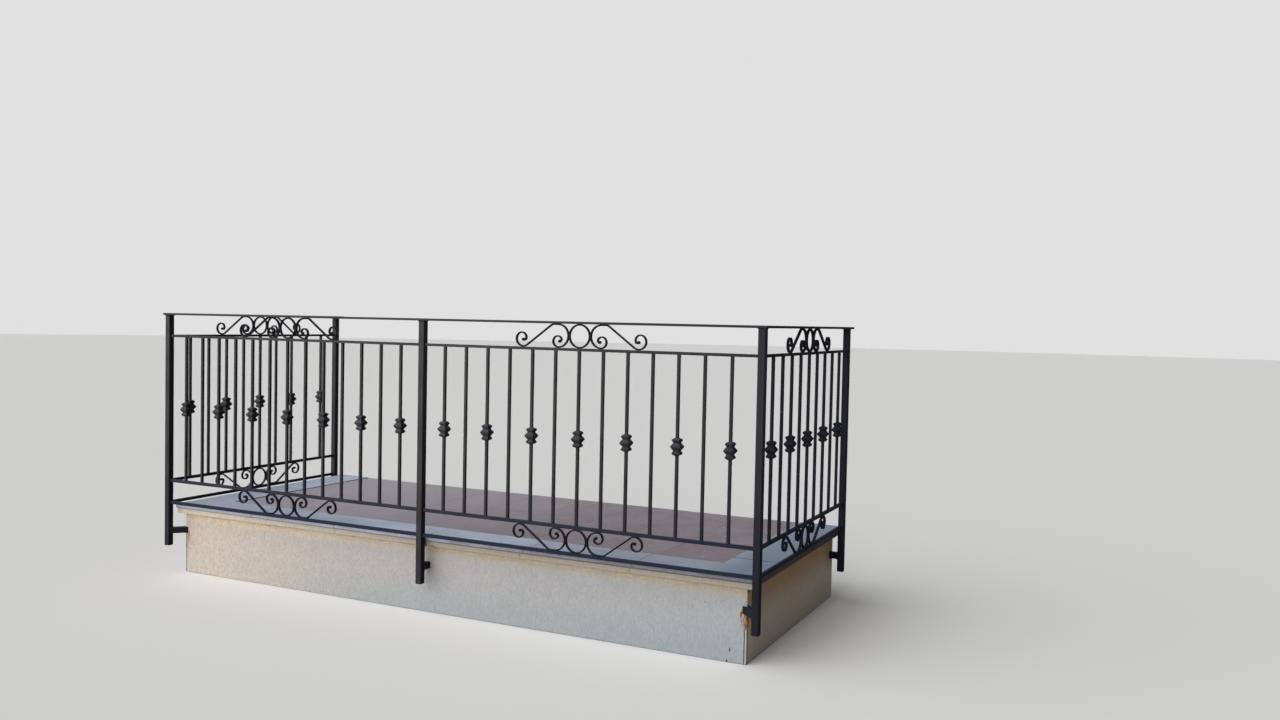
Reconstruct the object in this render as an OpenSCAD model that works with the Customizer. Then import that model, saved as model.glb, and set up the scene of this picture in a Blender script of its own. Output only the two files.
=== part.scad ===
// Three-sided wrought-iron balcony: a rendered slab with a stone border and a
// tiled floor, and a railing of square bars, cast knots and scrolls round it.
// Millimetres, +Z up, +X to the right seen from the front, the rear faces at y = 0.
// The origin lies on the slab's rear face, half way along and half way up.

/* [Slab and floor] */
// height of the rendered slab body
slab_h = 305; // [200:1:360]
// height of the projecting band under the border stones
band_h = 27; // [15:1:45]
// how far the band stands out past the slab's faces
band_out = 28; // [10:1:32]
// thickness of the border stones
coping_t = 20; // [12:1:35]
// width of the border stones
coping_w = 200; // [120:1:300]
// how far the border stones stand out past the band
coping_out = 4; // [0:1:6]
// how far the tiled floor lies below the top of the border stones
floor_drop = 4; // [1:1:8]
// clear distance from the slab's faces to the middle of the posts
slab_gap = 55; // [48:1:80]

/* [Railing] */
// top of the handrail above the border stones
rail_top = 975; // [850:1:1150]
// width of the railing, between the middles of its two corner posts
rail_w = 3172; // [2600:1:3700]
// depth of the railing, from the rear plane to the middle of its front posts
rail_d = 1268; // [1000:1:1500]
// bars in each of the two front bays
front_bars = 13; // [9:2:17]
// bars in each side
side_bars = 9; // [5:2:13]
// size of the square bars and rails
bar = 12; // [10:1:16]
// size of the square posts
post = 30; // [25:1:40]
// wall of the square posts
post_wall = 3; // [2:0.5:5]
// from the rear plane to the middle of the rear posts
wall_gap = 50; // [30:1:90]
// width of the handrail
hand_w = 45; // [36:1:60]
// thickness of the handrail
hand_t = 10; // [6:1:14]
// clear height of the two bands that hold the scrolls
scroll_h = 100; // [80:1:120]
// from the border stones up to the underside of the bottom rail
rail_lift = 3; // [2:1:40]

/* [Posts and brackets] */
// how far the posts reach down below the top of the border stones
post_drop = 210; // [160:1:260]
// from the top of the border stones down to the middle of the brackets
bracket_drop = 135; // [90:1:150]
// size of the square brackets
bracket = 30; // [20:1:30]

/* [Scrolls and knots] */
// thickness of the flat bar of the scrolls
scroll_t = 5; // [4:0.5:8]
// width of the flat bar of the scrolls, front to back
scroll_w = 12; // [8:1:16]
// length of each scroll's flat run along the rail
scroll_flat = 24; // [10:1:40]
// slope of the straight run of each scroll, in degrees
scroll_slope = 36; // [30:1:50]
// radius of the bend that ends the flat run
bend_r = 20; // [12:1:28]
// first radius of the outer spirals
outer_r = 35; // [28:1:40]
// how far the outer spirals turn before their tip, in degrees
outer_turn = 290; // [260:5:340]
// radius left after each half turn of an outer spiral, as a share of the one before
outer_q = 0.68; // [0.6:0.01:0.75]
// first radius of the inner spirals
inner_r = 26; // [22:1:30]
// how far the inner spirals turn before their tip, in degrees
inner_turn = 245; // [220:5:300]
// radius left after each half turn of an inner spiral, as a share of the one before
inner_q = 0.78; // [0.7:0.01:0.85]
// radius of the tight tip of a spiral
tip_r = 7.5; // [6:0.5:9]
// how far the tip turns, in degrees
tip_turn = 120; // [80:5:150]
// radius of the round eye that ends a tip
eye_r = 5.5; // [4.5:0.5:6.5]
// width of a knot's middle collar
knot_w = 38; // [30:1:48]
// width of a knot's two outer collars
knot_small = 30; // [20:1:36]
// height of a knot
knot_h = 74; // [50:1:90]
// how far the grooves between a knot's collars stand out from the bar
knot_groove = 5; // [3:0.5:6]

/* [Hidden] */
px = rail_w/2;
py = rail_d;
// from the middle of the middle post to the middle of a corner post
bay_f = px;
// from the middle of a rear post to the middle of a corner post
bay_s = py - wall_gap;
// from bar to bar, with the same clear gap beside the posts
pitch_f = (bay_f - post - bar*front_bars)/(front_bars + 1) + bar;
pitch_s = (bay_s - post - bar*side_bars)/(side_bars + 1) + bar;
slab_x = px - slab_gap;
slab_y = py - slab_gap;
band_x = slab_x + band_out;
band_y = slab_y + band_out;
edge_x = band_x + coping_out;
edge_y = band_y + coping_out;
z_bot = -slab_h/2;
z_slab = slab_h/2;
z_band = z_slab + band_h;
z_top = z_band + coping_t;
z_rail = z_top + rail_top;
z_hand = z_rail - hand_t;
z_up = z_hand - scroll_h - bar;
z_bt = z_top + rail_lift;
z_lo = z_bt + bar + scroll_h;
z_foot = z_top - post_drop;
z_brk = z_top - bracket_drop;
z_mid = (z_up + z_lo + bar)/2;
// overlap that joins round pieces which only touch
seat = 0.3;
half_h = scroll_h/2;
// middle line of the arcs that lie against ring and rail
arc_r = half_h - scroll_t/2 + seat/2;
arc_u = half_h + seat/2 + scroll_t/2 + arc_r - seat;
run = (2*arc_r - (bend_r + outer_r)*(1 - cos(scroll_slope)))/sin(scroll_slope);

iron = [0.16, 0.17, 0.19];
stone = [0.72, 0.72, 0.70];
render_c = [0.80, 0.74, 0.63];
tile = [0.50, 0.30, 0.25];

// a box given by its two corners
module box(a, b)
  translate(a)
    cube([b[0] - a[0], b[1] - a[1], b[2] - a[2]]);

// steps of a path: each is [turn in degrees, length]
function arc(r, a, n) = [for (i = [1:n]) [a/n, 2*r*sin(abs(a)/n/2)]];
function curl(r, a, q, n) =
  [for (i = [0:n-1]) [a/n, 2*r*pow(q, (i + 0.5)*abs(a)/n/180)*sin(abs(a)/n/2)]];
function line_to(l) = [[0, l]];
// the path from a point and heading through the steps, as [x, y, heading]
function walk(p, s, i = 0) =
  i >= len(s) ? [p] :
  concat([p], walk([p[0] + s[i][1]*cos(p[2] + s[i][0]/2),
                    p[1] + s[i][1]*sin(p[2] + s[i][0]/2),
                    p[2] + s[i][0]], s, i + 1));
// outline of a flat bar bent along a path
function ribbon(p) = concat(
  [for (q = p) [q[0] - scroll_t/2*sin(q[2]), q[1] + scroll_t/2*cos(q[2])]],
  [for (i = [len(p)-1:-1:0]) [p[i][0] + scroll_t/2*sin(p[i][2]), p[i][1] - scroll_t/2*cos(p[i][2])]]);

// the half of a scroll that runs from beside the ring over the top and out
out_path = walk([arc_u - arc_r, 0, 90],
  concat(arc(arc_r, -90, 10), line_to(scroll_flat), arc(bend_r, -scroll_slope, 5), line_to(run),
         arc(outer_r, scroll_slope, 5), curl(outer_r, outer_turn, outer_q, 30), arc(tip_r, tip_turn, 8)));
// the half that runs from beside the ring under and into the inner spiral
in_path = walk([arc_u - arc_r, 0, -90],
  concat(arc(arc_r, 90, 10), curl(inner_r, inner_turn, inner_q, 26), arc(tip_r, tip_turn, 8)));

module flat_bar(p)
  linear_extrude(height = scroll_w)
    polygon(ribbon(p));

// the round end of a spiral
module eye(p)
  translate([p[0], p[1], 0])
    cylinder(r = eye_r, h = scroll_w, $fn = 48);

module scroll() {
  flat_bar(out_path);
  flat_bar(in_path);
  eye(out_path[len(out_path) - 1]);
  eye(in_path[len(in_path) - 1]);
}

// ring with a scroll on either side, lying flat, middle at the origin
module motif_flat()
  intersection() {
    union() {
      difference() {
        cylinder(r = half_h + seat/2, h = scroll_w, $fn = 96);
        translate([0, 0, -1])
          cylinder(r = half_h - scroll_t, h = scroll_w + 2, $fn = 96);
      }
      scroll();
      mirror([1, 0, 0])
        scroll();
    }
    translate([-px, -half_h, -1])
      cube([2*px, scroll_h, scroll_w + 2]);
  }

// the motif upright in the x-z plane, its middle at the origin
module motif()
  rotate([90, 0, 0])
    translate([0, 0, -scroll_w/2])
      motif_flat();

// a cast knot round a bar, its middle at the origin
function knot_side() = let (a = knot_w/2, b = knot_small/2, c = bar/2 + knot_groove, d = bar/2 + 1.5, h = knot_h/2)
  [[d, -h], [b - 2, -h*0.86], [b, -h*0.74], [b - 2, -h*0.6], [c, -h*0.45], [a - 2.5, -h*0.14], [a, -h*0.04],
   [a, h*0.04], [a - 2.5, h*0.14], [c, h*0.45], [b - 2, h*0.6], [b, h*0.74], [b - 2, h*0.86], [d, h]];

module knot_slab()
  rotate([90, 0, 0])
    translate([0, 0, -knot_w])
      linear_extrude(height = 2*knot_w)
        polygon(concat(knot_side(), [for (i = [len(knot_side())-1:-1:0]) [-knot_side()[i][0], knot_side()[i][1]]]));

module knot()
  difference() {
    intersection() {
      knot_slab();
      rotate([0, 0, 90])
        knot_slab();
    }
    box([-bar/2, -bar/2, -knot_h], [bar/2, bar/2, knot_h]);
  }

// rails and bars of a bay of n bars, along +x from the middle of its first post
module panel(n, pitch, len_)
  translate([0, -bar/2, 0]) {
    box([post/2, 0, z_up], [len_ - post/2, bar, z_up + bar]);
    box([post/2, 0, z_lo], [len_ - post/2, bar, z_lo + bar]);
    box([post/2, 0, z_bt], [len_ - post/2, bar, z_bt + bar]);
    for (i = [1:n])
      translate([(post - bar)/2 + i*pitch - bar/2, 0, z_lo + bar/2])
        cube([bar, bar, z_up - z_lo]);
  }

module knots(n, pitch)
  for (i = [1:2:n])
    translate([(post - bar)/2 + i*pitch, 0, z_mid])
      knot();

module at_front_left()
  translate([-px, -py, 0])
    children();

module at_front_right()
  translate([0, -py, 0])
    children();

// sides: +x of the child runs from the wall post forward
module at_left()
  translate([-px, -wall_gap, 0])
    rotate([0, 0, -90])
      children();

module at_right()
  translate([px, -wall_gap, 0])
    rotate([0, 0, -90])
      children();

module post_at(x, y)
  color(iron)
    translate([x, y, z_foot])
      difference() {
        translate([-post/2, -post/2, 0])
          cube([post, post, z_hand - z_foot]);
        translate([-post/2 + post_wall, -post/2 + post_wall, -1])
          cube([post - 2*post_wall, post - 2*post_wall, z_hand - z_foot + 2]);
      }

// square bracket from a corner post to the slab's corner, cut to fit both
module corner_bracket(s)
  color(iron)
    difference() {
      translate([s*(px - slab_gap/2), -py + slab_gap/2, z_brk])
        rotate([0, 0, s*45])
          translate([-bracket/2, -slab_gap, -bracket/2])
            cube([bracket, 2*slab_gap, bracket]);
      translate([s*px, -py, z_brk])
        translate([-post/2, -post/2, -post])
          cube([post, post, 2*post]);
      translate([s*px, -py, z_brk])
        translate([s > 0 ? post/2 : -post/2 - 4*post, -5*post, -post])
          cube([4*post, 9*post, 2*post]);
      translate([s*px, -py, z_brk])
        translate([-5*post, -post/2 - 4*post, -post])
          cube([10*post, 4*post, 2*post]);
      box([-slab_x, -slab_y, z_bot], [slab_x, 0, z_slab]);
    }

module slab()
  color(render_c)
    box([-slab_x, -slab_y, z_bot], [slab_x, 0, z_slab]);

module edge_band()
  color(render_c)
    box([-band_x, -band_y, z_slab], [band_x, 0, z_band]);

module coping_front()
  color(stone)
    box([-edge_x, -edge_y, z_band], [edge_x, -edge_y + coping_w, z_top]);

module coping_left()
  color(stone)
    box([-edge_x, -edge_y + coping_w, z_band], [-edge_x + coping_w, 0, z_top]);

module coping_right()
  color(stone)
    box([edge_x - coping_w, -edge_y + coping_w, z_band], [edge_x, 0, z_top]);

module tile_floor()
  color(tile)
    box([-edge_x + coping_w, -edge_y + coping_w, z_band], [edge_x - coping_w, 0, z_top - floor_drop]);

module post_wall_left()
  post_at(-px, -wall_gap);

module post_corner_left()
  post_at(-px, -py);

module post_middle()
  post_at(0, -py);

module post_corner_right()
  post_at(px, -py);

module post_wall_right()
  post_at(px, -wall_gap);

module bracket_wall_left()
  color(iron)
    box([-px + post/2, -wall_gap - bracket/2, z_brk - bracket/2], [-slab_x, -wall_gap + bracket/2, z_brk + bracket/2]);

module bracket_corner_left()
  corner_bracket(-1);

module bracket_middle()
  color(iron)
    box([-bracket/2, -py + post/2, z_brk - bracket/2], [bracket/2, -slab_y, z_brk + bracket/2]);

module bracket_corner_right()
  corner_bracket(1);

module bracket_wall_right()
  color(iron)
    box([slab_x, -wall_gap - bracket/2, z_brk - bracket/2], [px - post/2, -wall_gap + bracket/2, z_brk + bracket/2]);

module handrail_front()
  color(iron)
    translate([0, 0, z_hand])
      linear_extrude(height = hand_t)
        polygon([[-px - hand_w/2, -py - hand_w/2], [px + hand_w/2, -py - hand_w/2],
                 [px - hand_w/2, -py + hand_w/2], [-px + hand_w/2, -py + hand_w/2]]);

module side_handrail()
  color(iron)
    translate([0, 0, z_hand])
      linear_extrude(height = hand_t)
        polygon([[px + hand_w/2, -py - hand_w/2], [px + hand_w/2, 0],
                 [px - hand_w/2, 0], [px - hand_w/2, -py + hand_w/2]]);

module handrail_left()
  mirror([1, 0, 0])
    side_handrail();

module handrail_right()
  side_handrail();

module panel_front_left()
  color(iron)
    at_front_left()
      panel(front_bars, pitch_f, bay_f);

module panel_front_right()
  color(iron)
    at_front_right()
      panel(front_bars, pitch_f, bay_f);

module panel_left()
  color(iron)
    at_left()
      panel(side_bars, pitch_s, bay_s);

module panel_right()
  color(iron)
    at_right()
      panel(side_bars, pitch_s, bay_s);

module knots_front_left()
  color(iron)
    at_front_left()
      knots(front_bars, pitch_f);

module knots_front_right()
  color(iron)
    at_front_right()
      knots(front_bars, pitch_f);

module knots_left()
  color(iron)
    at_left()
      knots(side_bars, pitch_s);

module knots_right()
  color(iron)
    at_right()
      knots(side_bars, pitch_s);

module top_motif(l)
  color(iron)
    translate([l/2, 0, z_hand - half_h])
      motif();

module low_motif(l)
  color(iron)
    translate([l/2, 0, z_bt + bar + half_h])
      rotate([180, 0, 0])
        motif();

module scrolls_top_front_left()
  at_front_left()
    top_motif(bay_f);

module scrolls_top_front_right()
  at_front_right()
    top_motif(bay_f);

module scrolls_top_left()
  at_left()
    top_motif(bay_s);

module scrolls_top_right()
  at_right()
    top_motif(bay_s);

module scrolls_low_front_left()
  at_front_left()
    low_motif(bay_f);

module scrolls_low_front_right()
  at_front_right()
    low_motif(bay_f);

module scrolls_low_left()
  at_left()
    low_motif(bay_s);

module scrolls_low_right()
  at_right()
    low_motif(bay_s);

slab();
edge_band();
coping_front();
coping_left();
coping_right();
tile_floor();
post_wall_left();
post_corner_left();
post_middle();
post_corner_right();
post_wall_right();
bracket_wall_left();
bracket_corner_left();
bracket_middle();
bracket_corner_right();
bracket_wall_right();
handrail_front();
handrail_left();
handrail_right();
panel_front_left();
panel_front_right();
panel_left();
panel_right();
knots_front_left();
knots_front_right();
knots_left();
knots_right();
scrolls_top_front_left();
scrolls_top_front_right();
scrolls_top_left();
scrolls_top_right();
scrolls_low_front_left();
scrolls_low_front_right();
scrolls_low_left();
scrolls_low_right();
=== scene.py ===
"""Looks of a three-sided wrought-iron balcony on a rendered slab.

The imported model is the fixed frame. Each sub-assembly below is a class that
holds its sizes in metres, builds its meshes and dresses them. Row frame: +Z up,
+X to the right along the rear face, the rear face at y = 0.
"""

import logging
import math
import random
from collections.abc import Callable, Sequence
from dataclasses import dataclass, field
from enum import Enum

import bmesh
import bpy
from mathutils import Matrix, Vector, noise


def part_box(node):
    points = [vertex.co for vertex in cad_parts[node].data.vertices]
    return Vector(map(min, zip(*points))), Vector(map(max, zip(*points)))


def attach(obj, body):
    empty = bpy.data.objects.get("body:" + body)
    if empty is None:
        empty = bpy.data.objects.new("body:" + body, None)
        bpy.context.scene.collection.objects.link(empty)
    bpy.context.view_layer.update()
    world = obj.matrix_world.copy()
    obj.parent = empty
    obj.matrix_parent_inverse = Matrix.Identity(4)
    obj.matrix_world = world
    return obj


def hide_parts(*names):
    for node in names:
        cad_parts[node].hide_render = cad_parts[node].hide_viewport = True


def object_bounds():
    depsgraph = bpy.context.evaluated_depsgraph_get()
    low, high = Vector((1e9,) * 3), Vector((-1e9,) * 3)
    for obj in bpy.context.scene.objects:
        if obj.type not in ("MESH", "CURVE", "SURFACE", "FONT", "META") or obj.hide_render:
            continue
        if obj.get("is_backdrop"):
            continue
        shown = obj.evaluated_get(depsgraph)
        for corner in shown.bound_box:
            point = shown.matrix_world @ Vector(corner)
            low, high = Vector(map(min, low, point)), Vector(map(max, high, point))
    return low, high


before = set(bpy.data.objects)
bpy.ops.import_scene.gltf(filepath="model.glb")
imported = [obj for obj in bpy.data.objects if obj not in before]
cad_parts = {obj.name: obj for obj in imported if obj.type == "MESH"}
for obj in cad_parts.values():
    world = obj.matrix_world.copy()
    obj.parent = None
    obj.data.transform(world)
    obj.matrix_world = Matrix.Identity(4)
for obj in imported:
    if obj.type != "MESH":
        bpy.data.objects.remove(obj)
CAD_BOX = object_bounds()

LOG = logging.getLogger("balcony")
MM = 0.001
TINY = 1e-7  # offset below which a point lies in a face
NEAR = 1e-4  # distance below which two places are taken as one
MEAN = 0.5  # mean of a noise
CORNERS = ((1, 1), (-1, 1), (-1, -1), (1, -1))  # signs of x and y, anticlockwise
SIDEWAYS = (0.5, 0.9)  # x of the normal, from where a face counts as turned sideways
Color = tuple[float, ...]
Span = tuple[float, float]
Link = bpy.types.NodeSocket
Axes = tuple[Link, ...]
Value = float | tuple[float, ...] | Link


class Slot(Enum):
    """Material slots."""

    IRON = "iron"
    RENDER = "render"
    COPING = "coping"
    TILES = "tiles"


class Bay(Enum):
    """The four bays of the railing, named as their nodes are."""

    FRONT_LEFT = "front_left"
    FRONT_RIGHT = "front_right"
    LEFT = "left"
    RIGHT = "right"

    @property
    def in_front(self) -> bool:
        """Whether the bay lies along the front."""
        return self in (Bay.FRONT_LEFT, Bay.FRONT_RIGHT)


def srgb(red: int, green: int, blue: int) -> tuple[float, float, float, float]:
    """Turns a colour in 0 to 255 steps into scene-linear values.

    Args:
        red: Red, 0 to 255.
        green: Green, 0 to 255.
        blue: Blue, 0 to 255.

    Returns:
        The colour as linear RGBA.
    """

    def linear(step: int) -> float:
        """Returns one channel as a linear value."""
        share = step / 255
        return share / 12.92 if share <= 0.04045 else ((share + 0.055) / 1.055) ** 2.4

    return (linear(red), linear(green), linear(blue), 1.0)


@dataclass(frozen=True)
class Layout:
    """Where the main lines of the balcony lie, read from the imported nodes."""

    post_x: float
    post_y: float
    wall_y: float
    post: float
    bar: float
    rail_low: float
    rail_lower: float
    rail_upper: float
    hand_low: float
    hand_top: float
    foot: float
    bracket_z: float
    bracket: float
    slab_x: float
    front_bars: int = 13
    side_bars: int = 9

    @classmethod
    def from_nodes(cls) -> "Layout":
        """Reads the layout from the boxes of the CAD nodes.

        Returns:
            The layout.
        """
        post_lo, post_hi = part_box("post_corner_right")
        wall_lo, wall_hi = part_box("post_wall_right")
        panel_lo, panel_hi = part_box("panel_front_right")
        hand_lo, hand_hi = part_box("handrail_front")
        bracket_lo, bracket_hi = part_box("bracket_middle")
        _, low_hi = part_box("scrolls_low_front_right")
        _, slab_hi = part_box("slab")
        bar = panel_hi.y - panel_lo.y
        return cls(
            post_x=(post_lo.x + post_hi.x) / 2,
            post_y=(post_lo.y + post_hi.y) / 2,
            wall_y=(wall_lo.y + wall_hi.y) / 2,
            post=post_hi.x - post_lo.x,
            bar=bar,
            rail_low=panel_lo.z,
            rail_lower=low_hi.z,
            rail_upper=panel_hi.z - bar,
            hand_low=hand_lo.z,
            hand_top=hand_hi.z,
            foot=post_lo.z,
            bracket_z=(bracket_lo.z + bracket_hi.z) / 2,
            bracket=bracket_hi.z - bracket_lo.z,
            slab_x=slab_hi.x,
        )

    def bay_matrix(self, bay: Bay) -> Matrix:
        """Matrix from a bay's own axes, +x along it from its first post, to the row frame.

        Args:
            bay: The bay.

        Returns:
            The matrix.
        """
        turn = Matrix.Rotation(math.radians(-90), 4, "Z")
        return {
            Bay.FRONT_LEFT: Matrix.Translation((-self.post_x, self.post_y, 0)),
            Bay.FRONT_RIGHT: Matrix.Translation((0, self.post_y, 0)),
            Bay.LEFT: Matrix.Translation((-self.post_x, self.wall_y, 0)) @ turn,
            Bay.RIGHT: Matrix.Translation((self.post_x, self.wall_y, 0)) @ turn,
        }[bay]

    def bay_length(self, bay: Bay) -> float:
        """Distance between the middles of the two posts of a bay."""
        return self.post_x if bay.in_front else self.wall_y - self.post_y

    def bar_places(self, bay: Bay) -> list[float]:
        """Middles of the bars of a bay, with the same gap between them and beside the posts.

        Args:
            bay: The bay.

        Returns:
            Their distances from the middle of its first post.
        """
        count = self.front_bars if bay.in_front else self.side_bars
        gap = (self.bay_length(bay) - self.post - self.bar * count) / (count + 1)
        return [self.post / 2 + i * (gap + self.bar) - self.bar / 2 for i in range(1, count + 1)]


class Shell:
    """Points and faces of one piece in the making.

    Every point carries three values that the finishes read: edge (1 on an
    exposed edge), weld (1 on a weld bead) and tone (a shade of its own).
    """

    bend_steps = 2
    bead_sides = 6
    bead_pitch = 1.5
    bead_sizes = (0.78, 1.0)
    bead_end = 0.5

    def __init__(self) -> None:
        """Starts an empty shell."""
        self.points: list[Vector] = []
        self.faces: list[tuple[int, ...]] = []
        self.values: dict[str, list[float]] = {"edge": [], "weld": [], "tone": []}

    def add(
        self,
        points: Sequence[Vector],
        faces: Sequence[tuple[int, ...]],
        edge: Sequence[float] | None = None,
        weld: float = 0.0,
        tone: float = 0.0,
        place: Matrix | None = None,
    ) -> None:
        """Adds a closed set of points and faces.

        Args:
            points: Corner points.
            faces: Faces as indices into points.
            edge: Edge value of each point, or none for 0.
            weld: Weld value of all the points.
            tone: Tone of all the points.
            place: Matrix that moves the points into place.
        """
        first = len(self.points)
        self.points += [place @ p for p in points] if place else list(points)
        self.faces += [tuple(first + i for i in f) for f in faces]
        self.values["edge"] += list(edge) if edge is not None else [0.0] * len(points)
        self.values["weld"] += [weld] * len(points)
        self.values["tone"] += [tone] * len(points)

    def block(
        self,
        lo: Sequence[float],
        hi: Sequence[float],
        radius: float,
        step: float,
        tone: float = 0.0,
        place: Matrix | None = None,
        warp: Callable[[Vector, float], Vector] | None = None,
    ) -> None:
        """Adds a box with rounded edges.

        Args:
            lo: Lowest corner.
            hi: Highest corner.
            radius: Radius of the edges.
            step: Widest spacing of the points.
            tone: Tone of the box.
            place: Matrix that moves the box into place.
            warp: Moves each point, given the point and its edge value.
        """
        shares = [k / self.bend_steps for k in range(self.bend_steps + 1)]
        turn = [radius * (1 - math.tan(math.pi / 4 * (1 - share))) for share in shares]
        axes = []
        for a in range(3):
            span = hi[a] - lo[a] - 2 * radius
            cuts = max(1, math.ceil(span / step))
            inner = [lo[a] + radius + span * k / cuts for k in range(1, cuts)]
            axes.append([lo[a] + t for t in turn] + inner + [hi[a] - t for t in reversed(turn)])
        index: dict[tuple[int, int, int], int] = {}
        points: list[Vector] = []
        edge: list[float] = []

        def corner(key: tuple[int, int, int]) -> int:
            """Makes a grid point at first use.

            Args:
                key: Its place in the lists of axes.

            Returns:
                Its index in points.
            """
            if key not in index:
                sharp = Vector(axes[a][key[a]] for a in range(3))
                core = Vector(min(max(sharp[a], lo[a] + radius), hi[a] - radius) for a in range(3))
                out = sharp - core
                value = 1.0 if sum(abs(c) > TINY for c in out) > 1 else 0.0
                point = core + out.normalized() * radius
                points.append(warp(point, value) if warp else point)
                edge.append(value)
                index[key] = len(points) - 1
            return index[key]

        faces: list[tuple[int, ...]] = []
        for a in range(3):
            b, c = (a + 1) % 3, (a + 2) % 3
            for end in (0, len(axes[a]) - 1):
                for j in range(len(axes[b]) - 1):
                    for k in range(len(axes[c]) - 1):
                        quad = []
                        for dj, dk in ((0, 0), (1, 0), (1, 1), (0, 1)):
                            key = [0, 0, 0]
                            key[a], key[b], key[c] = end, j + dj, k + dk
                            quad.append(corner((key[0], key[1], key[2])))
                        faces.append(tuple(quad if end else reversed(quad)))
        self.add(points, faces, edge, tone=tone, place=place)

    def loft(
        self,
        rings: Sequence[Sequence[Vector]],
        loop: bool = False,
        edge: Sequence[float] | None = None,
        weld: float = 0.0,
        place: Matrix | None = None,
    ) -> None:
        """Adds a skin over a row of rings that all have the same number of points.

        Args:
            rings: The rings in order.
            loop: True where the last ring joins the first, false for end caps.
            edge: Edge value of each point of a ring.
            weld: Weld value of the skin.
            place: Matrix that moves the skin into place.
        """
        n, count = len(rings[0]), len(rings)
        faces: list[tuple[int, ...]] = []
        for r in range(count if loop else count - 1):
            s = (r + 1) % count
            for i in range(n):
                j = (i + 1) % n
                faces.append((r * n + i, r * n + j, s * n + j, s * n + i))
        if not loop:
            faces.append(tuple(reversed(range(n))))
            faces.append(tuple((count - 1) * n + i for i in range(n)))
        points = [p for ring in rings for p in ring]
        marks = list(edge) * count if edge is not None else None
        self.add(points, faces, marks, weld=weld, place=place)

    def bead(
        self,
        path: Sequence[Vector],
        radius: float,
        rng: random.Random,
        loop: bool = False,
        place: Matrix | None = None,
    ) -> None:
        """Adds a lumpy weld bead along a path.

        Args:
            path: Points of the bead's middle line.
            radius: Radius of the bead.
            rng: Source of its unevenness.
            loop: True where the path closes on itself.
            place: Matrix that moves the bead into place.
        """
        line: list[Vector] = []
        spans = len(path) if loop else len(path) - 1
        for i in range(spans):
            a, b = path[i], path[(i + 1) % len(path)]
            cuts = max(2, round((b - a).length / (radius * self.bead_pitch)))
            line += [a.lerp(b, k / cuts) for k in range(cuts)]
        if not loop:
            line.append(path[-1])
        turns = [k * math.tau / self.bead_sides for k in range(self.bead_sides)]
        rings = []
        for i, p in enumerate(line):
            ahead = line[(i + 1) % len(line)] if loop or i + 1 < len(line) else p
            behind = line[i - 1] if loop or i else p
            along = (ahead - behind).normalized()
            side = along.orthogonal().normalized()
            across = along.cross(side)
            size = radius * rng.uniform(*self.bead_sizes)
            if not loop and i in (0, len(line) - 1):
                size *= self.bead_end
            rings.append(
                [p + side * (size * math.cos(t)) + across * (size * math.sin(t)) for t in turns]
            )
        self.loft(rings, loop=loop, weld=1.0, place=place)

    def build(
        self,
        name: str,
        material: bpy.types.Material,
        slot: Slot,
        nodes: Sequence[str] = (),
        smooth: float = 38.0,
        weighted: bool = True,
    ) -> None:
        """slot: Slot that the finish belongs to; not used.
            nodes: CAD nodes that it stands for.
            smooth: Widest angle, in degrees, that is shaded smooth.
            weighted: True where flat faces keep their shading up to rounded edges.
        """
        mesh = bpy.data.meshes.new(name)
        mesh.from_pydata(self.points, [], self.faces)
        for key, values in self.values.items():
            mesh.attributes.new(key, "FLOAT", "POINT").data.foreach_set("value", values)
        work = bmesh.new()
        work.from_mesh(mesh)
        bmesh.ops.recalc_face_normals(work, faces=work.faces)
        work.to_mesh(mesh)
        work.free()
        mesh.polygons.foreach_set("use_smooth", [True] * len(mesh.polygons))
        mesh.set_sharp_from_angle(angle=math.radians(smooth))
        mesh.materials.append(material)
        piece = bpy.data.objects.new(name, mesh)
        bpy.context.scene.collection.objects.link(piece)
        if weighted:
            shade = piece.modifiers.new("flat_faces", "WEIGHTED_NORMAL")
            shade.keep_sharp = True
        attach(piece, "root")
        if nodes:
            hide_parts(*nodes)
        LOG.info("%s: %d points, %d faces", name, len(mesh.vertices), len(mesh.polygons))


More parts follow.
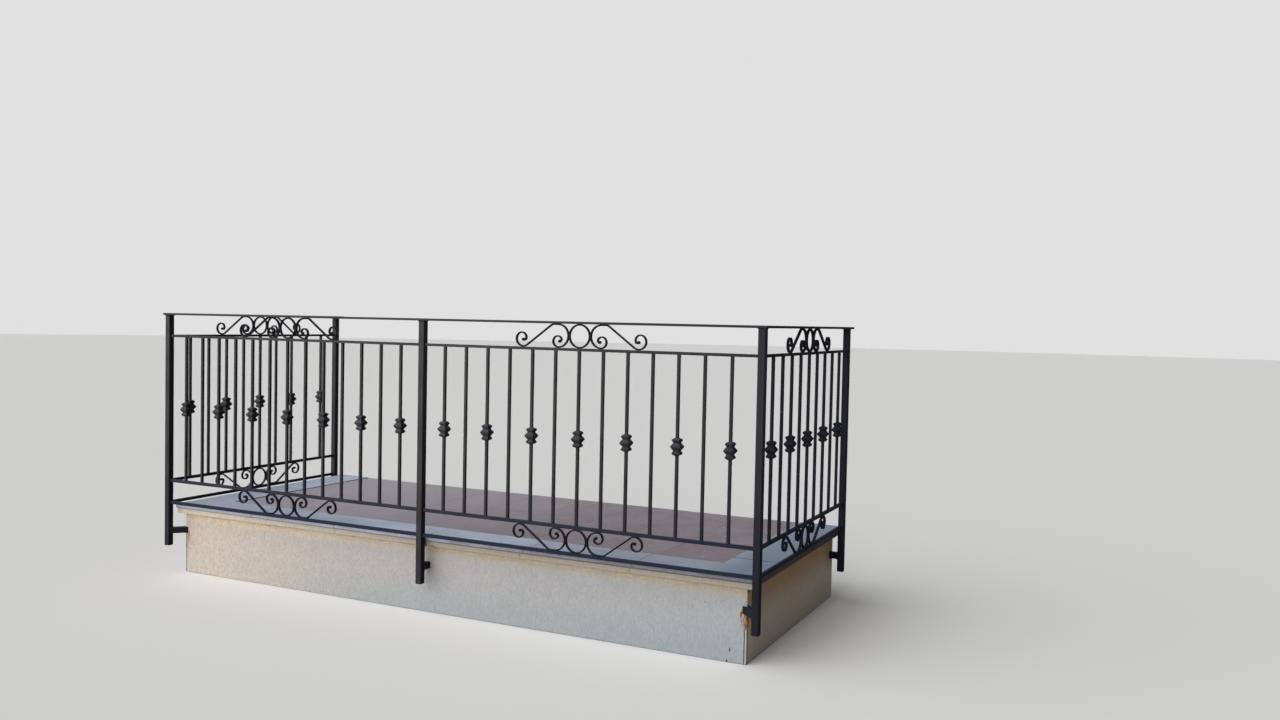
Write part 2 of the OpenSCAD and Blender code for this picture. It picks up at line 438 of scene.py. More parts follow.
class Tree:
    """A node tree being wired, of a material or of a group."""

    def __init__(self, tree: bpy.types.NodeTree) -> None:
        """Takes the tree and empties it."""
        self.tree = tree
        tree.nodes.clear()

    def fill(self, node: bpy.types.Node, inputs: dict[str | int, Value]) -> None:
        """Links or sets the inputs of a node.

        Args:
            node: The node.
            inputs: Socket name or number to a value or to another node's output.
        """
        for key, value in inputs.items():
            if isinstance(value, bpy.types.NodeSocket):
                self.tree.links.new(value, node.inputs[key])
            else:
                node.inputs[key].default_value = value

    def put(
        self, kind: str, inputs: dict[str | int, Value] | None = None, **settings: object
    ) -> bpy.types.Node:
        """Adds a node.

        Args:
            kind: Type of the node, without the leading ShaderNode.
            inputs: Socket name or number to a value or to another node's output.
            **settings: Properties of the node.

        Returns:
            The node.
        """
        node = self.tree.nodes.new("ShaderNode" + kind)
        for key, value in settings.items():
            setattr(node, key, value)
        self.fill(node, inputs or {})
        return node

    def math(self, operation: str, a: Value, b: Value = 0.0, clamp: bool = False) -> Link:
        """Joins two values by one operation."""
        node = self.put("Math", {0: a, 1: b}, operation=operation, use_clamp=clamp)
        return node.outputs[0]

    def times(self, a: Value, b: Value, clamp: bool = False) -> Link:
        """Multiplies two values."""
        return self.math("MULTIPLY", a, b, clamp)

    def plus(self, a: Value, b: Value, clamp: bool = False) -> Link:
        """Adds two values."""
        return self.math("ADD", a, b, clamp)

    def minus(self, a: Value, b: Value, clamp: bool = False) -> Link:
        """Takes the second value from the first."""
        return self.math("SUBTRACT", a, b, clamp)

    def rest(self, a: Value) -> Link:
        """Takes a value from 1."""
        return self.minus(1.0, a)

    def larger(self, a: Value, b: Value) -> Link:
        """Returns the larger of two values."""
        return self.math("MAXIMUM", a, b)

    def size(self, a: Value) -> Link:
        """Returns a value without its sign."""
        return self.math("ABSOLUTE", a)

    def swing(self, a: Value, amount: float) -> Link:
        """Turns a noise into a swing about 0."""
        return self.times(self.minus(a, MEAN), amount)

    def scaled(self, a: Value, middle: float, half: float) -> Link:
        """Returns the distance from a middle, in units of a half size."""
        return self.math("DIVIDE", self.minus(a, middle), half)

    def squares(self, a: Value, b: Value) -> Link:
        """Adds the squares of two values."""
        return self.plus(self.math("POWER", a, 2.0), self.math("POWER", b, 2.0))

    def ramp(self, value: Value, low: float, high: float, start: float = 0.0, end: float = 1.0) -> Link:
        """Turns a value between low and high into a smooth step from start to end."""
        spans = {"Value": value, "From Min": low, "From Max": high, "To Min": start, "To Max": end}
        return self.put("MapRange", spans, interpolation_type="SMOOTHSTEP").outputs[0]

    def mix(self, share: Value, a: Value, b: Value, blend: str = "MIX") -> Link:
        """Mixes two colours."""
        node = self.put("Mix", {0: share, 6: a, 7: b}, data_type="RGBA", blend_type=blend)
        return node.outputs[2]

    def noise(self, vector: Link, scale: Value, detail: float = 3.0, rough: float = 0.55) -> Link:
        """Adds a noise texture and returns its value."""
        values = {"Vector": vector, "Scale": scale, "Detail": detail, "Roughness": rough}
        return self.put("TexNoise", values).outputs[0]

    def place(self) -> Link:
        """Returns the point's place on the object, in metres."""
        return self.put("TexCoord").outputs["Object"]

    def axes(self, vector: Link) -> Axes:
        """Returns a vector's x, y and z."""
        return tuple(self.put("SeparateXYZ", {0: vector}).outputs)

    def facing(self) -> Axes:
        """Returns the x, y and z of the surface's normal."""
        return self.axes(self.put("NewGeometry").outputs["Normal"])

    def drawn(self, vector: Link, scale: Sequence[float], turn: float = 0.0) -> Link:
        """Scales a place along its axes, after a turn about z in radians."""
        node = self.put("Mapping", {"Vector": vector, "Rotation": (0.0, 0.0, turn), "Scale": scale})
        return node.outputs[0]

    def value_of(self, name: str) -> Link:
        """Returns a value that the mesh stores for each point."""
        return self.put("Attribute", attribute_name=name).outputs["Fac"]

    def seen(self) -> Link:
        """Tells the rays that the camera sees, also by reflection or through glass, from others.

        Returns:
            1 for those rays, else 0.
        """
        path = self.put("LightPath").outputs
        passed_on = self.larger(path["Is Glossy Ray"], path["Is Transmission Ray"])
        return self.larger(path["Is Camera Ray"], passed_on)

    def group(self, effect: "Effect", vector: Link, **inputs: Value) -> bpy.types.NodeOutputs:
        """Places a shared effect.

        Args:
            effect: The effect.
            vector: Place of the point.
            **inputs: The effect's other inputs by name.

        Returns:
            The effect's outputs.
        """
        node = self.put("Group")
        node.node_tree = effect.tree()
        self.fill(node, {"Vector": vector, **inputs})
        return node.outputs

    def surface(
        self, color: Link, rough: Value, height: Link, relief: "Relief", specular: float = 0.5
    ) -> bpy.types.Node:
        """Adds the shader of a surface with a fine relief.

        Args:
            color: Its colour.
            rough: Its roughness.
            height: Height of the relief at each point, without a unit.
            relief: How the height is turned into a relief.
            specular: Strength of its reflection.

        Returns:
            The shader node.
        """
        bump = self.put(
            "Bump", {"Strength": relief.strength, "Distance": relief.depth, "Height": height}
        )
        return self.put(
            "BsdfPrincipled",
            {
                "Base Color": color,
                "Roughness": rough,
                "Normal": bump.outputs[0],
                "Specular IOR Level": specular,
            },
        )


@dataclass(frozen=True)
class Relief:
    """Strength of a surface's relief and its depth in metres."""

    strength: float
    depth: float


class Effect:
    """A shared effect: a node group that is built once and placed with its own values."""

    name = "effect"
    inputs: tuple[tuple[str, str, Value], ...] = ()
    outputs: tuple[tuple[str, str], ...] = ()

    def tree(self) -> bpy.types.NodeTree:
        """Builds the group at first use.

        Returns:
            The group.
        """
        found = bpy.data.node_groups.get(self.name)
        if found:
            return found
        made = bpy.data.node_groups.new(self.name, "ShaderNodeTree")
        for name, kind, value in self.inputs:
            socket = made.interface.new_socket(name, in_out="INPUT", socket_type="NodeSocket" + kind)
            if kind != "Vector":
                socket.default_value = value
        for name, kind in self.outputs:
            made.interface.new_socket(name, in_out="OUTPUT", socket_type="NodeSocket" + kind)
        wiring = Tree(made)
        start = made.nodes.new("NodeGroupInput").outputs
        end = made.nodes.new("NodeGroupOutput").inputs
        for name, socket in self.wire(wiring, start).items():
            made.links.new(socket, end[name])
        return made

    def wire(self, t: Tree, start: bpy.types.NodeOutputs) -> dict[str, Link]:
        """Wires the group.

        Args:
            t: Tree of the group.
            start: Inputs of the group.

        Returns:
            Its outputs by name.
        """
        raise NotImplementedError


class Grain(Effect):
    """Fine and coarse unevenness of a surface."""

    name = "grain"
    inputs = (("Vector", "Vector", 0.0), ("Fine", "Float", 300.0), ("Coarse", "Float", 20.0))
    outputs = (("Height", "Float"), ("Tone", "Float"))
    rough = 0.5
    fine_share = 0.7
    coarse_share = 0.3

    def wire(self, t: Tree, start: bpy.types.NodeOutputs) -> dict[str, Link]:
        """Wires two noises, the fine one over the coarse one.

        Args:
            t: Tree of the group.
            start: Inputs of the group.

        Returns:
            Its outputs by name.
        """
        fine = t.noise(start["Vector"], start["Fine"], 3.0, self.rough)
        coarse = t.noise(start["Vector"], start["Coarse"], 4.0, self.rough)
        height = t.plus(t.times(fine, self.fine_share), t.times(coarse, self.coarse_share))
        return {"Height": height, "Tone": coarse}


class Specks(Effect):
    """Scattered round specks."""

    name = "specks"
    inputs = (
        ("Vector", "Vector", 0.0),
        ("Scale", "Float", 60.0),
        ("Size", "Float", 0.2),
        ("Share", "Float", 0.1),
    )
    outputs = (("Mask", "Float"),)
    rough = 0.5
    finer = 3.0
    rim = 0.12
    sharpness = 14.0

    def wire(self, t: Tree, start: bpy.types.NodeOutputs) -> dict[str, Link]:
        """Wires cells of which a share holds a speck with a ragged rim.

        Args:
            t: Tree of the group.
            start: Inputs of the group.

        Returns:
            Its outputs by name.
        """
        cells = t.put("TexVoronoi", {"Vector": start["Vector"], "Scale": start["Scale"]}).outputs
        ragged = t.noise(start["Vector"], t.times(start["Scale"], self.finer), 2.0, self.rough)
        reach = t.plus(cells["Distance"], t.times(ragged, self.rim))
        near = t.minus(t.plus(start["Size"], self.rim / 2), reach)
        pick = t.put("SeparateColor", {0: cells["Color"]}).outputs[0]
        chosen = t.math("LESS_THAN", pick, start["Share"])
        return {"Mask": t.times(t.times(near, self.sharpness, clamp=True), chosen)}


class Streaks(Effect):
    """Vertical runs of dirty water that start at a height and fade below it."""

    name = "streaks"
    inputs = (
        ("Vector", "Vector", 0.0),
        ("Scale", "Float", 30.0),
        ("Top", "Float", 0.15),
        ("Reach", "Float", 0.15),
        ("Amount", "Float", 0.5),
    )
    outputs = (("Mask", "Float"),)
    drawn_out = 0.06
    threshold = 0.7
    sharpness = 3.0

    def wire(self, t: Tree, start: bpy.types.NodeOutputs) -> dict[str, Link]:
        """Wires a noise drawn out along z, faded by height.

        Args:
            t: Tree of the group.
            start: Inputs of the group.

        Returns:
            Its outputs by name.
        """
        x, y, z = t.axes(start["Vector"])
        flat = t.put("CombineXYZ", {0: x, 1: y, 2: t.times(z, self.drawn_out)}).outputs[0]
        run = t.noise(flat, start["Scale"], 4.0, 0.65)
        down = t.math("DIVIDE", t.minus(start["Top"], z), start["Reach"], clamp=True)
        cut = t.times(t.rest(start["Amount"]), self.threshold)
        line = t.times(t.minus(run, cut), self.sharpness, clamp=True)
        return {"Mask": t.times(line, t.rest(down))}


class EdgeWear(Effect):
    """Rubbed and chipped places along exposed edges."""

    name = "edge_wear"
    inputs = (
        ("Vector", "Vector", 0.0),
        ("Edge", "Float", 0.0),
        ("Scale", "Float", 40.0),
        ("Share", "Float", 0.4),
    )
    outputs = (("Mask", "Float"),)
    sharpness = 9.0

    def wire(self, t: Tree, start: bpy.types.NodeOutputs) -> dict[str, Link]:
        """Wires the edge value broken up by noise.

        Args:
            t: Tree of the group.
            start: Inputs of the group.

        Returns:
            Its outputs by name.
        """
        patch = t.noise(start["Vector"], start["Scale"], 5.0, 0.7)
        worn = t.times(t.minus(patch, t.rest(start["Share"])), self.sharpness, clamp=True)
        return {"Mask": t.times(worn, start["Edge"])}


class SettledDust(Effect):
    """Dust that lies on faces that look up."""

    name = "settled_dust"
    inputs = (("Vector", "Vector", 0.0), ("Scale", "Float", 12.0), ("Amount", "Float", 0.5))
    outputs = (("Mask", "Float"),)
    upward = (0.35, 0.95)
    patchy = (0.3, 0.75)

    def wire(self, t: Tree, start: bpy.types.NodeOutputs) -> dict[str, Link]:
        """Wires the upward share of the normal times a cloudy noise.

        Args:
            t: Tree of the group.
            start: Inputs of the group.

        Returns:
            Its outputs by name.
        """
        lie = t.ramp(t.facing()[2], *self.upward)
        cloud = t.noise(start["Vector"], start["Scale"], 5.0, 0.65)
        thick = t.times(t.ramp(cloud, *self.patchy), start["Amount"])
        return {"Mask": t.times(lie, thick)}


class Rust(Effect):
    """Colour of rusted steel, from dark brown to orange."""

    name = "rust"
    inputs = (("Vector", "Vector", 0.0), ("Scale", "Float", 120.0))
    outputs = (("Color", "Color"), ("Height", "Float"))
    dark = srgb(62, 32, 20)
    brown = srgb(116, 60, 30)
    orange = srgb(168, 98, 48)
    browner = (0.35, 0.55)
    brighter = (0.55, 0.75)

    def wire(self, t: Tree, start: bpy.types.NodeOutputs) -> dict[str, Link]:
        """Wires a noise into the rust colours.

        Args:
            t: Tree of the group.
            start: Inputs of the group.

        Returns:
            Its outputs by name.
        """
        flake = t.noise(start["Vector"], start["Scale"], 6.0, 0.7)
        color = t.mix(t.ramp(flake, *self.browner), self.dark, self.brown)
        color = t.mix(t.ramp(flake, *self.brighter), color, self.orange)
        return {"Color": color, "Height": flake}


class Finish:
    """A finish: builds one material."""

    name = "finish"

    def material(self) -> bpy.types.Material:
        """Builds the material at first use.

        Returns:
            The material.
        """
        found = bpy.data.materials.get(self.name)
        if found:
            return found
        made = bpy.data.materials.new(self.name)
        made.use_nodes = True
        tree = Tree(made.node_tree)
        shader = self.wire(tree)
        out = tree.put("OutputMaterial")
        made.node_tree.links.new(shader.outputs[0], out.inputs[0])
        return made

    def wire(self, t: Tree) -> bpy.types.Node:
        """Wires the material.

        Args:
            t: Tree of the material.

        Returns:
            Its shader node.
        """
        raise NotImplementedError


@dataclass(frozen=True)
class IronPaint(Finish):
    """Satin anthracite paint on steel, a little dusty, worn at edges and welds, with painted shade and
    a painted sky reflection on its tops.
    """

    name: str = "iron_paint"
    paint: Color = srgb(66, 63, 66)
    faded: Color = srgb(75, 72, 74)
    # colour of the painted shade
    low: Color = srgb(30, 31, 42)
    rail_tint: Color = srgb(35, 45, 63)
    # colour of the painted shade on faces turned towards +x
    side_shade: Color = srgb(20, 21, 29)
    dust: Color = srgb(82, 90, 114)
    pore: Color = srgb(30, 30, 33)
    splash: Color = srgb(176, 172, 164)
    rail_tint_share: float = 0.85
    side_shade_share: float = 0.82
    pore_share: float = 0.1
    splash_share: float = 0.8
    chip_share: float = 0.6
    weld_share: float = 0.5
    wear: float = 0.34
    gloss: float = 0.42
    duller: float = 0.35
    specular: float = 0.045
    relief: Relief = Relief(0.3, 0.0006)
    # reaches of the painted shade low down and towards the right
    foot: float = -0.05
    head: float = 0.95
    width: Span = (0.1, 1.5)
    right_side: Span = (1.4, 1.56)
    behind_front: Span = (-1.26, -1.1)

    def wire(self, t: Tree) -> bpy.types.Node:
        """Wires paint, fading, painted shade, dust with a painted sky reflection, chips with rust and
        splashes of plaster.

        Args:
            t: Tree of the material.

        Returns:
            Its shader node.
        """
        at = t.place()
        x, tone = t.axes(at)[0], t.value_of("tone")
        grain = t.group(Grain(), at, Fine=420.0, Coarse=9.0)
        color = t.mix(t.ramp(grain["Tone"], 0.35, 0.7), self.paint, self.faded)
        # painted shade: darker low down, towards the right and at the back of the right side
        color = t.mix(self.painted_shade(t, at), color, self.low)
        # the thicker rails darker and bluer
        color = t.mix(t.times(tone, self.rail_tint_share), color, self.rail_tint)
        # painted shade on faces turned towards +x
        color = t.mix(t.ramp(t.facing()[0], 0.35, 0.9, 0.0, self.side_shade_share), color, self.side_shade)
        pores = t.times(t.ramp(t.noise(at, 260.0, 2.0), 0.55, 0.8), self.pore_share)
        color = t.mix(pores, color, self.pore)
        # settled dust on upward faces, less towards the right; its blue grey is also a painted sky
        # reflection on the tops
        dust = t.group(SettledDust(), at, Scale=14.0, Amount=0.75)["Mask"]
        dust = t.times(dust, t.ramp(tone, 0.0, 1.0, 1.0, 0.4))
        dust = t.times(dust, t.ramp(x, *self.right_side, 1.0, 0.0))
        color = t.mix(dust, color, self.dust)
        rust = t.group(Rust(), at, Scale=160.0)
        bare = self.bare(t, at)
        color = t.mix(bare, color, rust["Color"])
        splash = t.group(Specks(), at, Scale=75.0, Size=0.15, Share=0.012)["Mask"]
        color = t.mix(t.times(splash, self.splash_share), color, self.splash)
        dull = t.larger(t.larger(bare, dust), splash)
        dull = t.larger(dull, t.ramp(x, *self.right_side))
        satin = t.ramp(grain["Tone"], 0.3, 0.7, self.gloss - 0.06, self.gloss + 0.1)
        rough = t.plus(satin, t.times(dull, self.duller), clamp=True)
        lift = t.plus(t.times(grain["Height"], 0.3), t.times(bare, rust["Height"]))
        lift = t.plus(lift, t.times(splash, 1.5))
        return t.surface(color, rough, lift, self.relief, self.specular)

    def painted_shade(self, t: Tree, at: Link) -> Link:
        """Wires painted shade: darker low down, towards the right and at the back of the right side.

        Args:
            t: Tree of the material.
            at: Place of the point.

        Returns:
            The mask.
        """
        x, y, z = t.axes(at)
        cloud = t.ramp(t.noise(at, 3.0, 3.0), 0.3, 0.7, 0.75, 1.0)
        low = t.times(t.ramp(z, self.foot, self.head, 1.0, 0.0), cloud)
        low = t.times(low, t.ramp(x, *self.width, 0.6, 1.0))
        unshaded = t.times(t.rest(low), t.ramp(x, *self.width, 1.0, 0.5))
        behind = t.times(t.ramp(x, *self.right_side), t.ramp(y, *self.behind_front, 0.0, 0.85))
        return t.rest(t.times(unshaded, t.rest(behind)))

    def bare(self, t: Tree, at: Link) -> Link:
        """Wires where the paint has gone, at edges and on weld beads.

        Args:
            t: Tree of the material.
            at: Place of the point.

        Returns:
            The mask.
        """
        edge = t.value_of("edge")
        chips = t.group(EdgeWear(), at, Edge=edge, Scale=55.0, Share=self.wear)["Mask"]
        seam = t.times(t.value_of("weld"), t.ramp(t.noise(at, 70.0, 4.0), 0.48, 0.68))
        return t.larger(t.times(chips, self.chip_share), t.times(seam, self.weld_share))


@dataclass(frozen=True)
class Blot:
    """An upright oval of rust beside a corner of the slab, below a bracket."""

    away: float
    drop: float
    half_width: float
    half_height: float
    ragged: float = 2.2

    def reach(self, t: Tree, away: Link, height: Link, top: float, run: Link) -> Link:
        """Wires the distance from its middle, 1 at its rim.

        Args:
            t: Tree of the material.
            away: Distance from the slab's corner.
            height: Height of the point.
            top: Height of the bracket's underside.
            run: Noise drawn out along z, 0 on average.

        Returns:
            The distance.
        """
        wide = t.scaled(away, self.away, self.half_width)
        tall = t.scaled(height, top - self.drop, self.half_height)
        return t.plus(t.math("SQRT", t.squares(wide, tall)), t.times(run, self.ragged))


@dataclass(frozen=True)
class LimeRender(Finish):
    """Rough lime render with an ochre wash under the lip, runs, pits and rust stains, and much painted
    light and shade.
    """

    name: str = "lime_render"
    # painted light: from the sunlit left to the cooler right
    sunny: Color = srgb(221, 208, 193)
    middle: Color = srgb(188, 185, 185)
    cool: Color = srgb(176, 178, 181)
    # ochre wash lightened as painted light, and the lighter band of painted light just under the lip
    wash: Color = srgb(249, 225, 196)
    wash_right: Color = srgb(194, 182, 160)
    under: Color = srgb(255, 239, 212)
    lit_band_right: Color = srgb(234, 216, 188)
    # painted light of the lip, lighter at the left
    lip: Color = srgb(238, 225, 208)
    lip_right: Color = srgb(180, 168, 153)
    # painted light: cooler towards the foot
    painted_cool_foot: Color = srgb(238, 247, 250)
    # painted light and shade of the side faces
    side: Color = srgb(232, 212, 191)
    side_top: Color = srgb(222, 196, 158)
    shadowed: Color = srgb(62, 56, 62)
    # colour of the painted shade along the lip's top
    joint: Color = srgb(96, 84, 74)
    combed: Color = srgb(222, 223, 224)
    pitted: Color = srgb(206, 206, 205)
    mottled: Color = srgb(238, 236, 234)
    runs: Color = srgb(150, 128, 98)
    pit: Color = srgb(84, 80, 76)
    chip: Color = srgb(40, 38, 40)
    crack: Color = srgb(98, 78, 60)
    bead_lit: Color = srgb(208, 198, 190)
    bead_gap: Color = srgb(62, 52, 46)
    painted_arris_shade: Color = srgb(78, 66, 54)
    rust_halo: Color = srgb(212, 190, 160)
    rust_run: Color = srgb(180, 128, 66)
    rust_drip: Color = srgb(92, 60, 36)
    rust_patch: Color = srgb(108, 66, 44)
    rust_core: Color = srgb(78, 46, 30)
    rust_smudge: Color = srgb(112, 84, 54)
    run_share: float = 0.14
    pit_share: float = 0.7
    side_share: float = 0.85
    bead_share: float = 0.55
    arris_share: float = 0.7
    rough: float = 0.92
    specular: float = 0.15
    relief: Relief = Relief(0.75, 0.0022)
    top: float = 0.1525
    lip_top: float = 0.1795
    bottom: float = -0.1525
    wash_reach: Span = (0.05, 0.006)
    lit_band_reach: Span = (0.016, 0.002)
    shadow_reach: Span = (0.018, 0.004)
    lip_shade_reach: Span = (0.0045, 0.002)
    ragged: float = 0.012
    foot: float = 0.2
    corner_x: float = 1.531
    corner_y: float = -1.213
    bead_in: float = 0.0105
    bead_half: float = 0.0018
    bead_ends: Span = (0.005, 0.045)
    bracket_z: float = 0.0645
    bracket: float = 0.03
    streak: Blot = Blot(0.006, 0.026, 0.021, 0.052)
    patch: Blot = Blot(0.027, 0.006, 0.014, 0.024)
    smudge_x: float = 0.045
    smudge_size: Span = (0.02, 0.014)
    smudge_ragged: float = 2.4
    chips: tuple[Span, ...] = ((1.4607, -0.1015), (1.449, -0.149))
    chip_size: Span = (0.0032, 0.0075)
    cracks: tuple[float, ...] = (-0.52, 0.503, 1.03)
    crack_widths: Span = (0.0008, 0.0026)

    def wire(self, t: Tree) -> bpy.types.Node:
        """Wires the render's shades, its wash and stains, and the grain of the plaster.

        Args:
            t: Tree of the material.

        Returns:
            Its shader node.
        """
        at = t.place()
        axes = t.axes(at)
        color = self.shades(t, at, axes)
        comb = t.noise(t.drawn(at, (1.0, 1.0, 0.5)), 125.0, 3.0, 0.6)
        pores = t.noise(at, 190.0, 4.0, 0.6)
        grain = t.group(Grain(), at, Fine=300.0, Coarse=16.0)
        coarser = t.ramp(axes[0], -1.5, 0.2, 1.7, 1.0)
        for share, shade in (
            (t.times(t.ramp(comb, 0.36, 0.6, 0.34, 0.0), coarser), self.combed),
            (t.times(t.ramp(pores, 0.3, 0.52, 0.4, 0.0), coarser), self.pitted),
            (t.ramp(grain["Tone"], 0.35, 0.65, 0.12, 0.0), self.mottled),
        ):
            color = t.mix(share, color, shade, "MULTIPLY")
        runs = t.group(Streaks(), at, Scale=26.0, Top=self.top, Reach=0.16, Amount=0.52)["Mask"]
        color = t.mix(t.times(runs, self.run_share), color, self.runs)
        pits = t.group(Specks(), at, Scale=34.0, Size=0.09, Share=0.05)["Mask"]
        color = t.mix(t.times(pits, self.pit_share), color, self.pit)
        chips = self.chipped(t, at, axes)
        color = t.mix(chips, color, self.chip)
        color, groove = self.corner_bead(t, color, axes)
        color = self.rusted(t, color, at, axes)
        color = t.mix(self.cracked(t, at, axes), color, self.crack)
        lift = t.plus(pores, t.times(comb, 1.6))
        lift = t.plus(lift, t.times(grain["Height"], 0.3))
        lift = t.minus(lift, t.larger(t.larger(pits, chips), groove))
        return t.surface(color, self.rough, lift, self.relief, self.specular)

    def below(self, t: Tree, height: Link, reach: Span, start: float = 0.0, end: float = 1.0) -> Link:
        """Ramps between two heights that are given as distances below the lip."""
        return t.ramp(height, self.top - reach[0], self.top - reach[1], start, end)

    def shades(self, t: Tree, at: Link, axes: Axes) -> Link:
        """Wires the slow change of colour along the slab, under its lip and at its foot, most of it
        painted light and shade.

        Args:
            t: Tree of the material.
            at: Place of the point.
            axes: The place's x, y and z.

        Returns:
            The colour.
        """
        x, _, z = axes
        cloud = t.noise(at, 2.4, 4.0)
        # painted light: warm and light towards the sunlit left, cooler and greyer towards the right
        drift = t.plus(x, t.swing(cloud, 0.5))
        color = t.mix(t.ramp(drift, -1.55, -0.05), self.sunny, self.middle)
        color = t.mix(t.ramp(drift, -0.3, 1.6), color, self.cool)
        # painted light and shade on faces turned sideways: a warm bounce-light colour, darker and
        # browner towards the top
        sideways = t.facing()[0]
        beside = t.ramp(t.size(sideways), *SIDEWAYS)
        shade = t.mix(t.ramp(cloud, 0.3, 0.7, 0.0, 0.35), self.side, self.sunny)
        color = t.mix(t.times(beside, self.side_share), color, shade)
        painted_side_shade = t.times(beside, t.ramp(z, -0.03, self.top - 0.03, 0.0, 0.95))
        color = t.mix(painted_side_shade, color, self.side_top, "MULTIPLY")
        body = t.math("LESS_THAN", z, self.top + 0.0005)
        ragged = t.plus(z, t.times(t.noise(at, 30.0, 3.0), self.ragged))
        front = t.times(body, t.rest(beside))
        # ochre wash below the lip, lightened as painted light against the lip's shadow
        strip = t.times(self.below(t, ragged, self.wash_reach), front)
        along = t.ramp(drift, -1.5, 0.5)
        thick = t.ramp(cloud, 0.3, 0.65, 0.65, 0.95)
        color = t.mix(t.times(strip, thick), color, t.mix(along, self.wash, self.wash_right))
        # painted light: a lighter band just under the lip that cancels its shadow
        near = t.times(self.below(t, ragged, self.lit_band_reach), front)
        near = t.times(near, t.ramp(t.noise(at, 12.0, 3.0), 0.35, 0.6, 0.65, 1.0))
        color = t.mix(near, color, t.mix(along, self.under, self.lit_band_right))
        # painted light: the lip lighter towards the left
        lip = t.mix(t.ramp(drift, -1.5, 0.3), self.lip, self.lip_right)
        color = t.mix(t.minus(0.9, body, clamp=True), color, lip)
        # painted shade: a dark band along the lip's top under the stone's overhang, stronger towards
        # the right
        joint = t.ramp(z, self.lip_top - self.lip_shade_reach[0], self.lip_top - self.lip_shade_reach[1])
        joint = t.times(joint, t.ramp(x, -1.3, 1.3, 0.3, 0.8))
        color = t.mix(joint, color, self.joint)
        shadow = self.below(t, ragged, self.shadow_reach, 0.0, 0.92)
        color = t.mix(t.times(t.ramp(sideways, *SIDEWAYS), shadow), color, self.shadowed)
        # painted light: cooler towards the foot, less so at the left
        foot = t.ramp(z, self.bottom, self.bottom + self.foot, 1.0, 0.0)
        foot = t.times(foot, t.ramp(x, -1.4, -0.2, 0.3, 1.0))
        return t.mix(foot, color, self.painted_cool_foot, "MULTIPLY")

    def chipped(self, t: Tree, at: Link, axes: Axes) -> Link:
        """Wires the chips in the front face, each an upright nick.

        Args:
            t: Tree of the material.
            at: Place of the point.
            axes: The place's x, y and z.

        Returns:
            The mask.
        """
        ragged = t.swing(t.noise(at, 250.0, 3.0), 1.2)
        mask = 0.0
        for x, z in self.chips:
            wide = t.scaled(axes[0], x, self.chip_size[0])
            tall = t.scaled(axes[2], z, self.chip_size[1])
            near = t.ramp(t.plus(t.squares(wide, tall), ragged), 0.4, 1.2, 1.0, 0.0)
            mask = t.larger(near, mask)
        return mask

    def cracked(self, t: Tree, at: Link, axes: Axes) -> Link:
        """Wires the hairline cracks in the lip, each below a joint of the border.

        Args:
            t: Tree of the material.
            at: Place of the point.
            axes: The place's x, y and z.

        Returns:
            The mask.
        """
        drift = t.swing(t.noise(at, 60.0, 3.0), 0.012)
        mask = 0.0
        for x in self.cracks:
            off = t.size(t.plus(t.minus(axes[0], x), drift))
            mask = t.larger(t.ramp(off, *self.crack_widths, 0.6, 0.0), mask)
        return t.times(mask, t.ramp(axes[2], self.top - 0.004, self.top + 0.003))

    def corner_bead(self, t: Tree, color: Link, axes: Axes) -> tuple[Link, Link]:
        """Wires the plastered corner profiles that show at the front corners, a painted highlight
        beside each and painted shade on the side face next to each corner.

        Args:
            t: Tree of the material.
            color: Colour so far.
            axes: The place's x, y and z.

        Returns:
            The colour and the mask of the groove beside the profile.
        """
        x, y, z = axes
        inward = t.minus(self.corner_x, t.size(x))
        low = t.ramp(z, *self.bead_ends, 1.0, 0.0)
        where = t.times(t.math("LESS_THAN", y, self.corner_y + 0.004), low)
        off = t.size(t.minus(inward, self.bead_in))
        groove = t.ramp(off, self.bead_half * 0.5, self.bead_half * 1.6, 1.0, 0.0)
        groove = t.times(groove, where)
        bright = t.times(t.ramp(inward, self.bead_in * 0.6, self.bead_in, 1.0, 0.0), where)
        color = t.mix(t.times(bright, self.bead_share), color, self.bead_lit)
        color = t.mix(groove, color, self.bead_gap)
        # painted shade: a dark line on the side face next to each front corner
        arris = t.times(t.ramp(y, self.corner_y + 0.008, self.corner_y + 0.02, 1.0, 0.0), low)
        arris = t.times(arris, t.math("LESS_THAN", inward, 0.0022))
        return t.mix(t.times(arris, self.arris_share), color, self.painted_arris_shade), groove

    def rusted(self, t: Tree, color: Link, at: Link, axes: Axes) -> Link:
        """Wires rust below the brackets and where a post's rust has run over the lip.

        Args:
            t: Tree of the material.
            color: Colour so far.
            at: Place of the point.
            axes: The place's x, y and z.

        Returns:
            The stained colour.
        """
        x, y, z = axes
        run = t.minus(t.noise(t.drawn(at, (1.0, 1.0, 0.25)), 190.0, 3.0, 0.6), MEAN)
        side = t.size(t.minus(t.size(x), self.corner_x))
        away = t.plus(side, t.size(t.minus(y, self.corner_y)))
        under = self.bracket_z - self.bracket / 2
        streak = self.streak.reach(t, away, z, under, run)
        patch = self.patch.reach(t, away, z, under, run)
        strength = t.ramp(x, -0.5, 0.5, 0.45, 1.0)
        spotty = t.ramp(t.noise(at, 190.0, 3.0, 0.6), 0.44, 0.56, 0.35, 1.0)
        drips = t.ramp(t.noise(t.drawn(at, (1.0, 1.0, 0.12)), 260.0, 2.0), 0.47, 0.53, 1.0, 0.0)
        nearest = t.math("MINIMUM", streak, patch)
        for share, stain in (
            (t.ramp(nearest, 0.6, 1.2, 0.6, 0.0), self.rust_halo),
            (t.times(t.ramp(streak, 0.2, 0.95, 0.95, 0.0), spotty), self.rust_run),
            (t.times(drips, t.ramp(streak, 0.6, 1.25, 0.9, 0.0)), self.rust_drip),
            (t.ramp(patch, 0.3, 0.8, 0.85, 0.0), self.rust_patch),
            (t.ramp(streak, -0.2, 0.3, 0.7, 0.0), self.rust_core),
        ):
            color = t.mix(t.times(share, strength), color, stain)
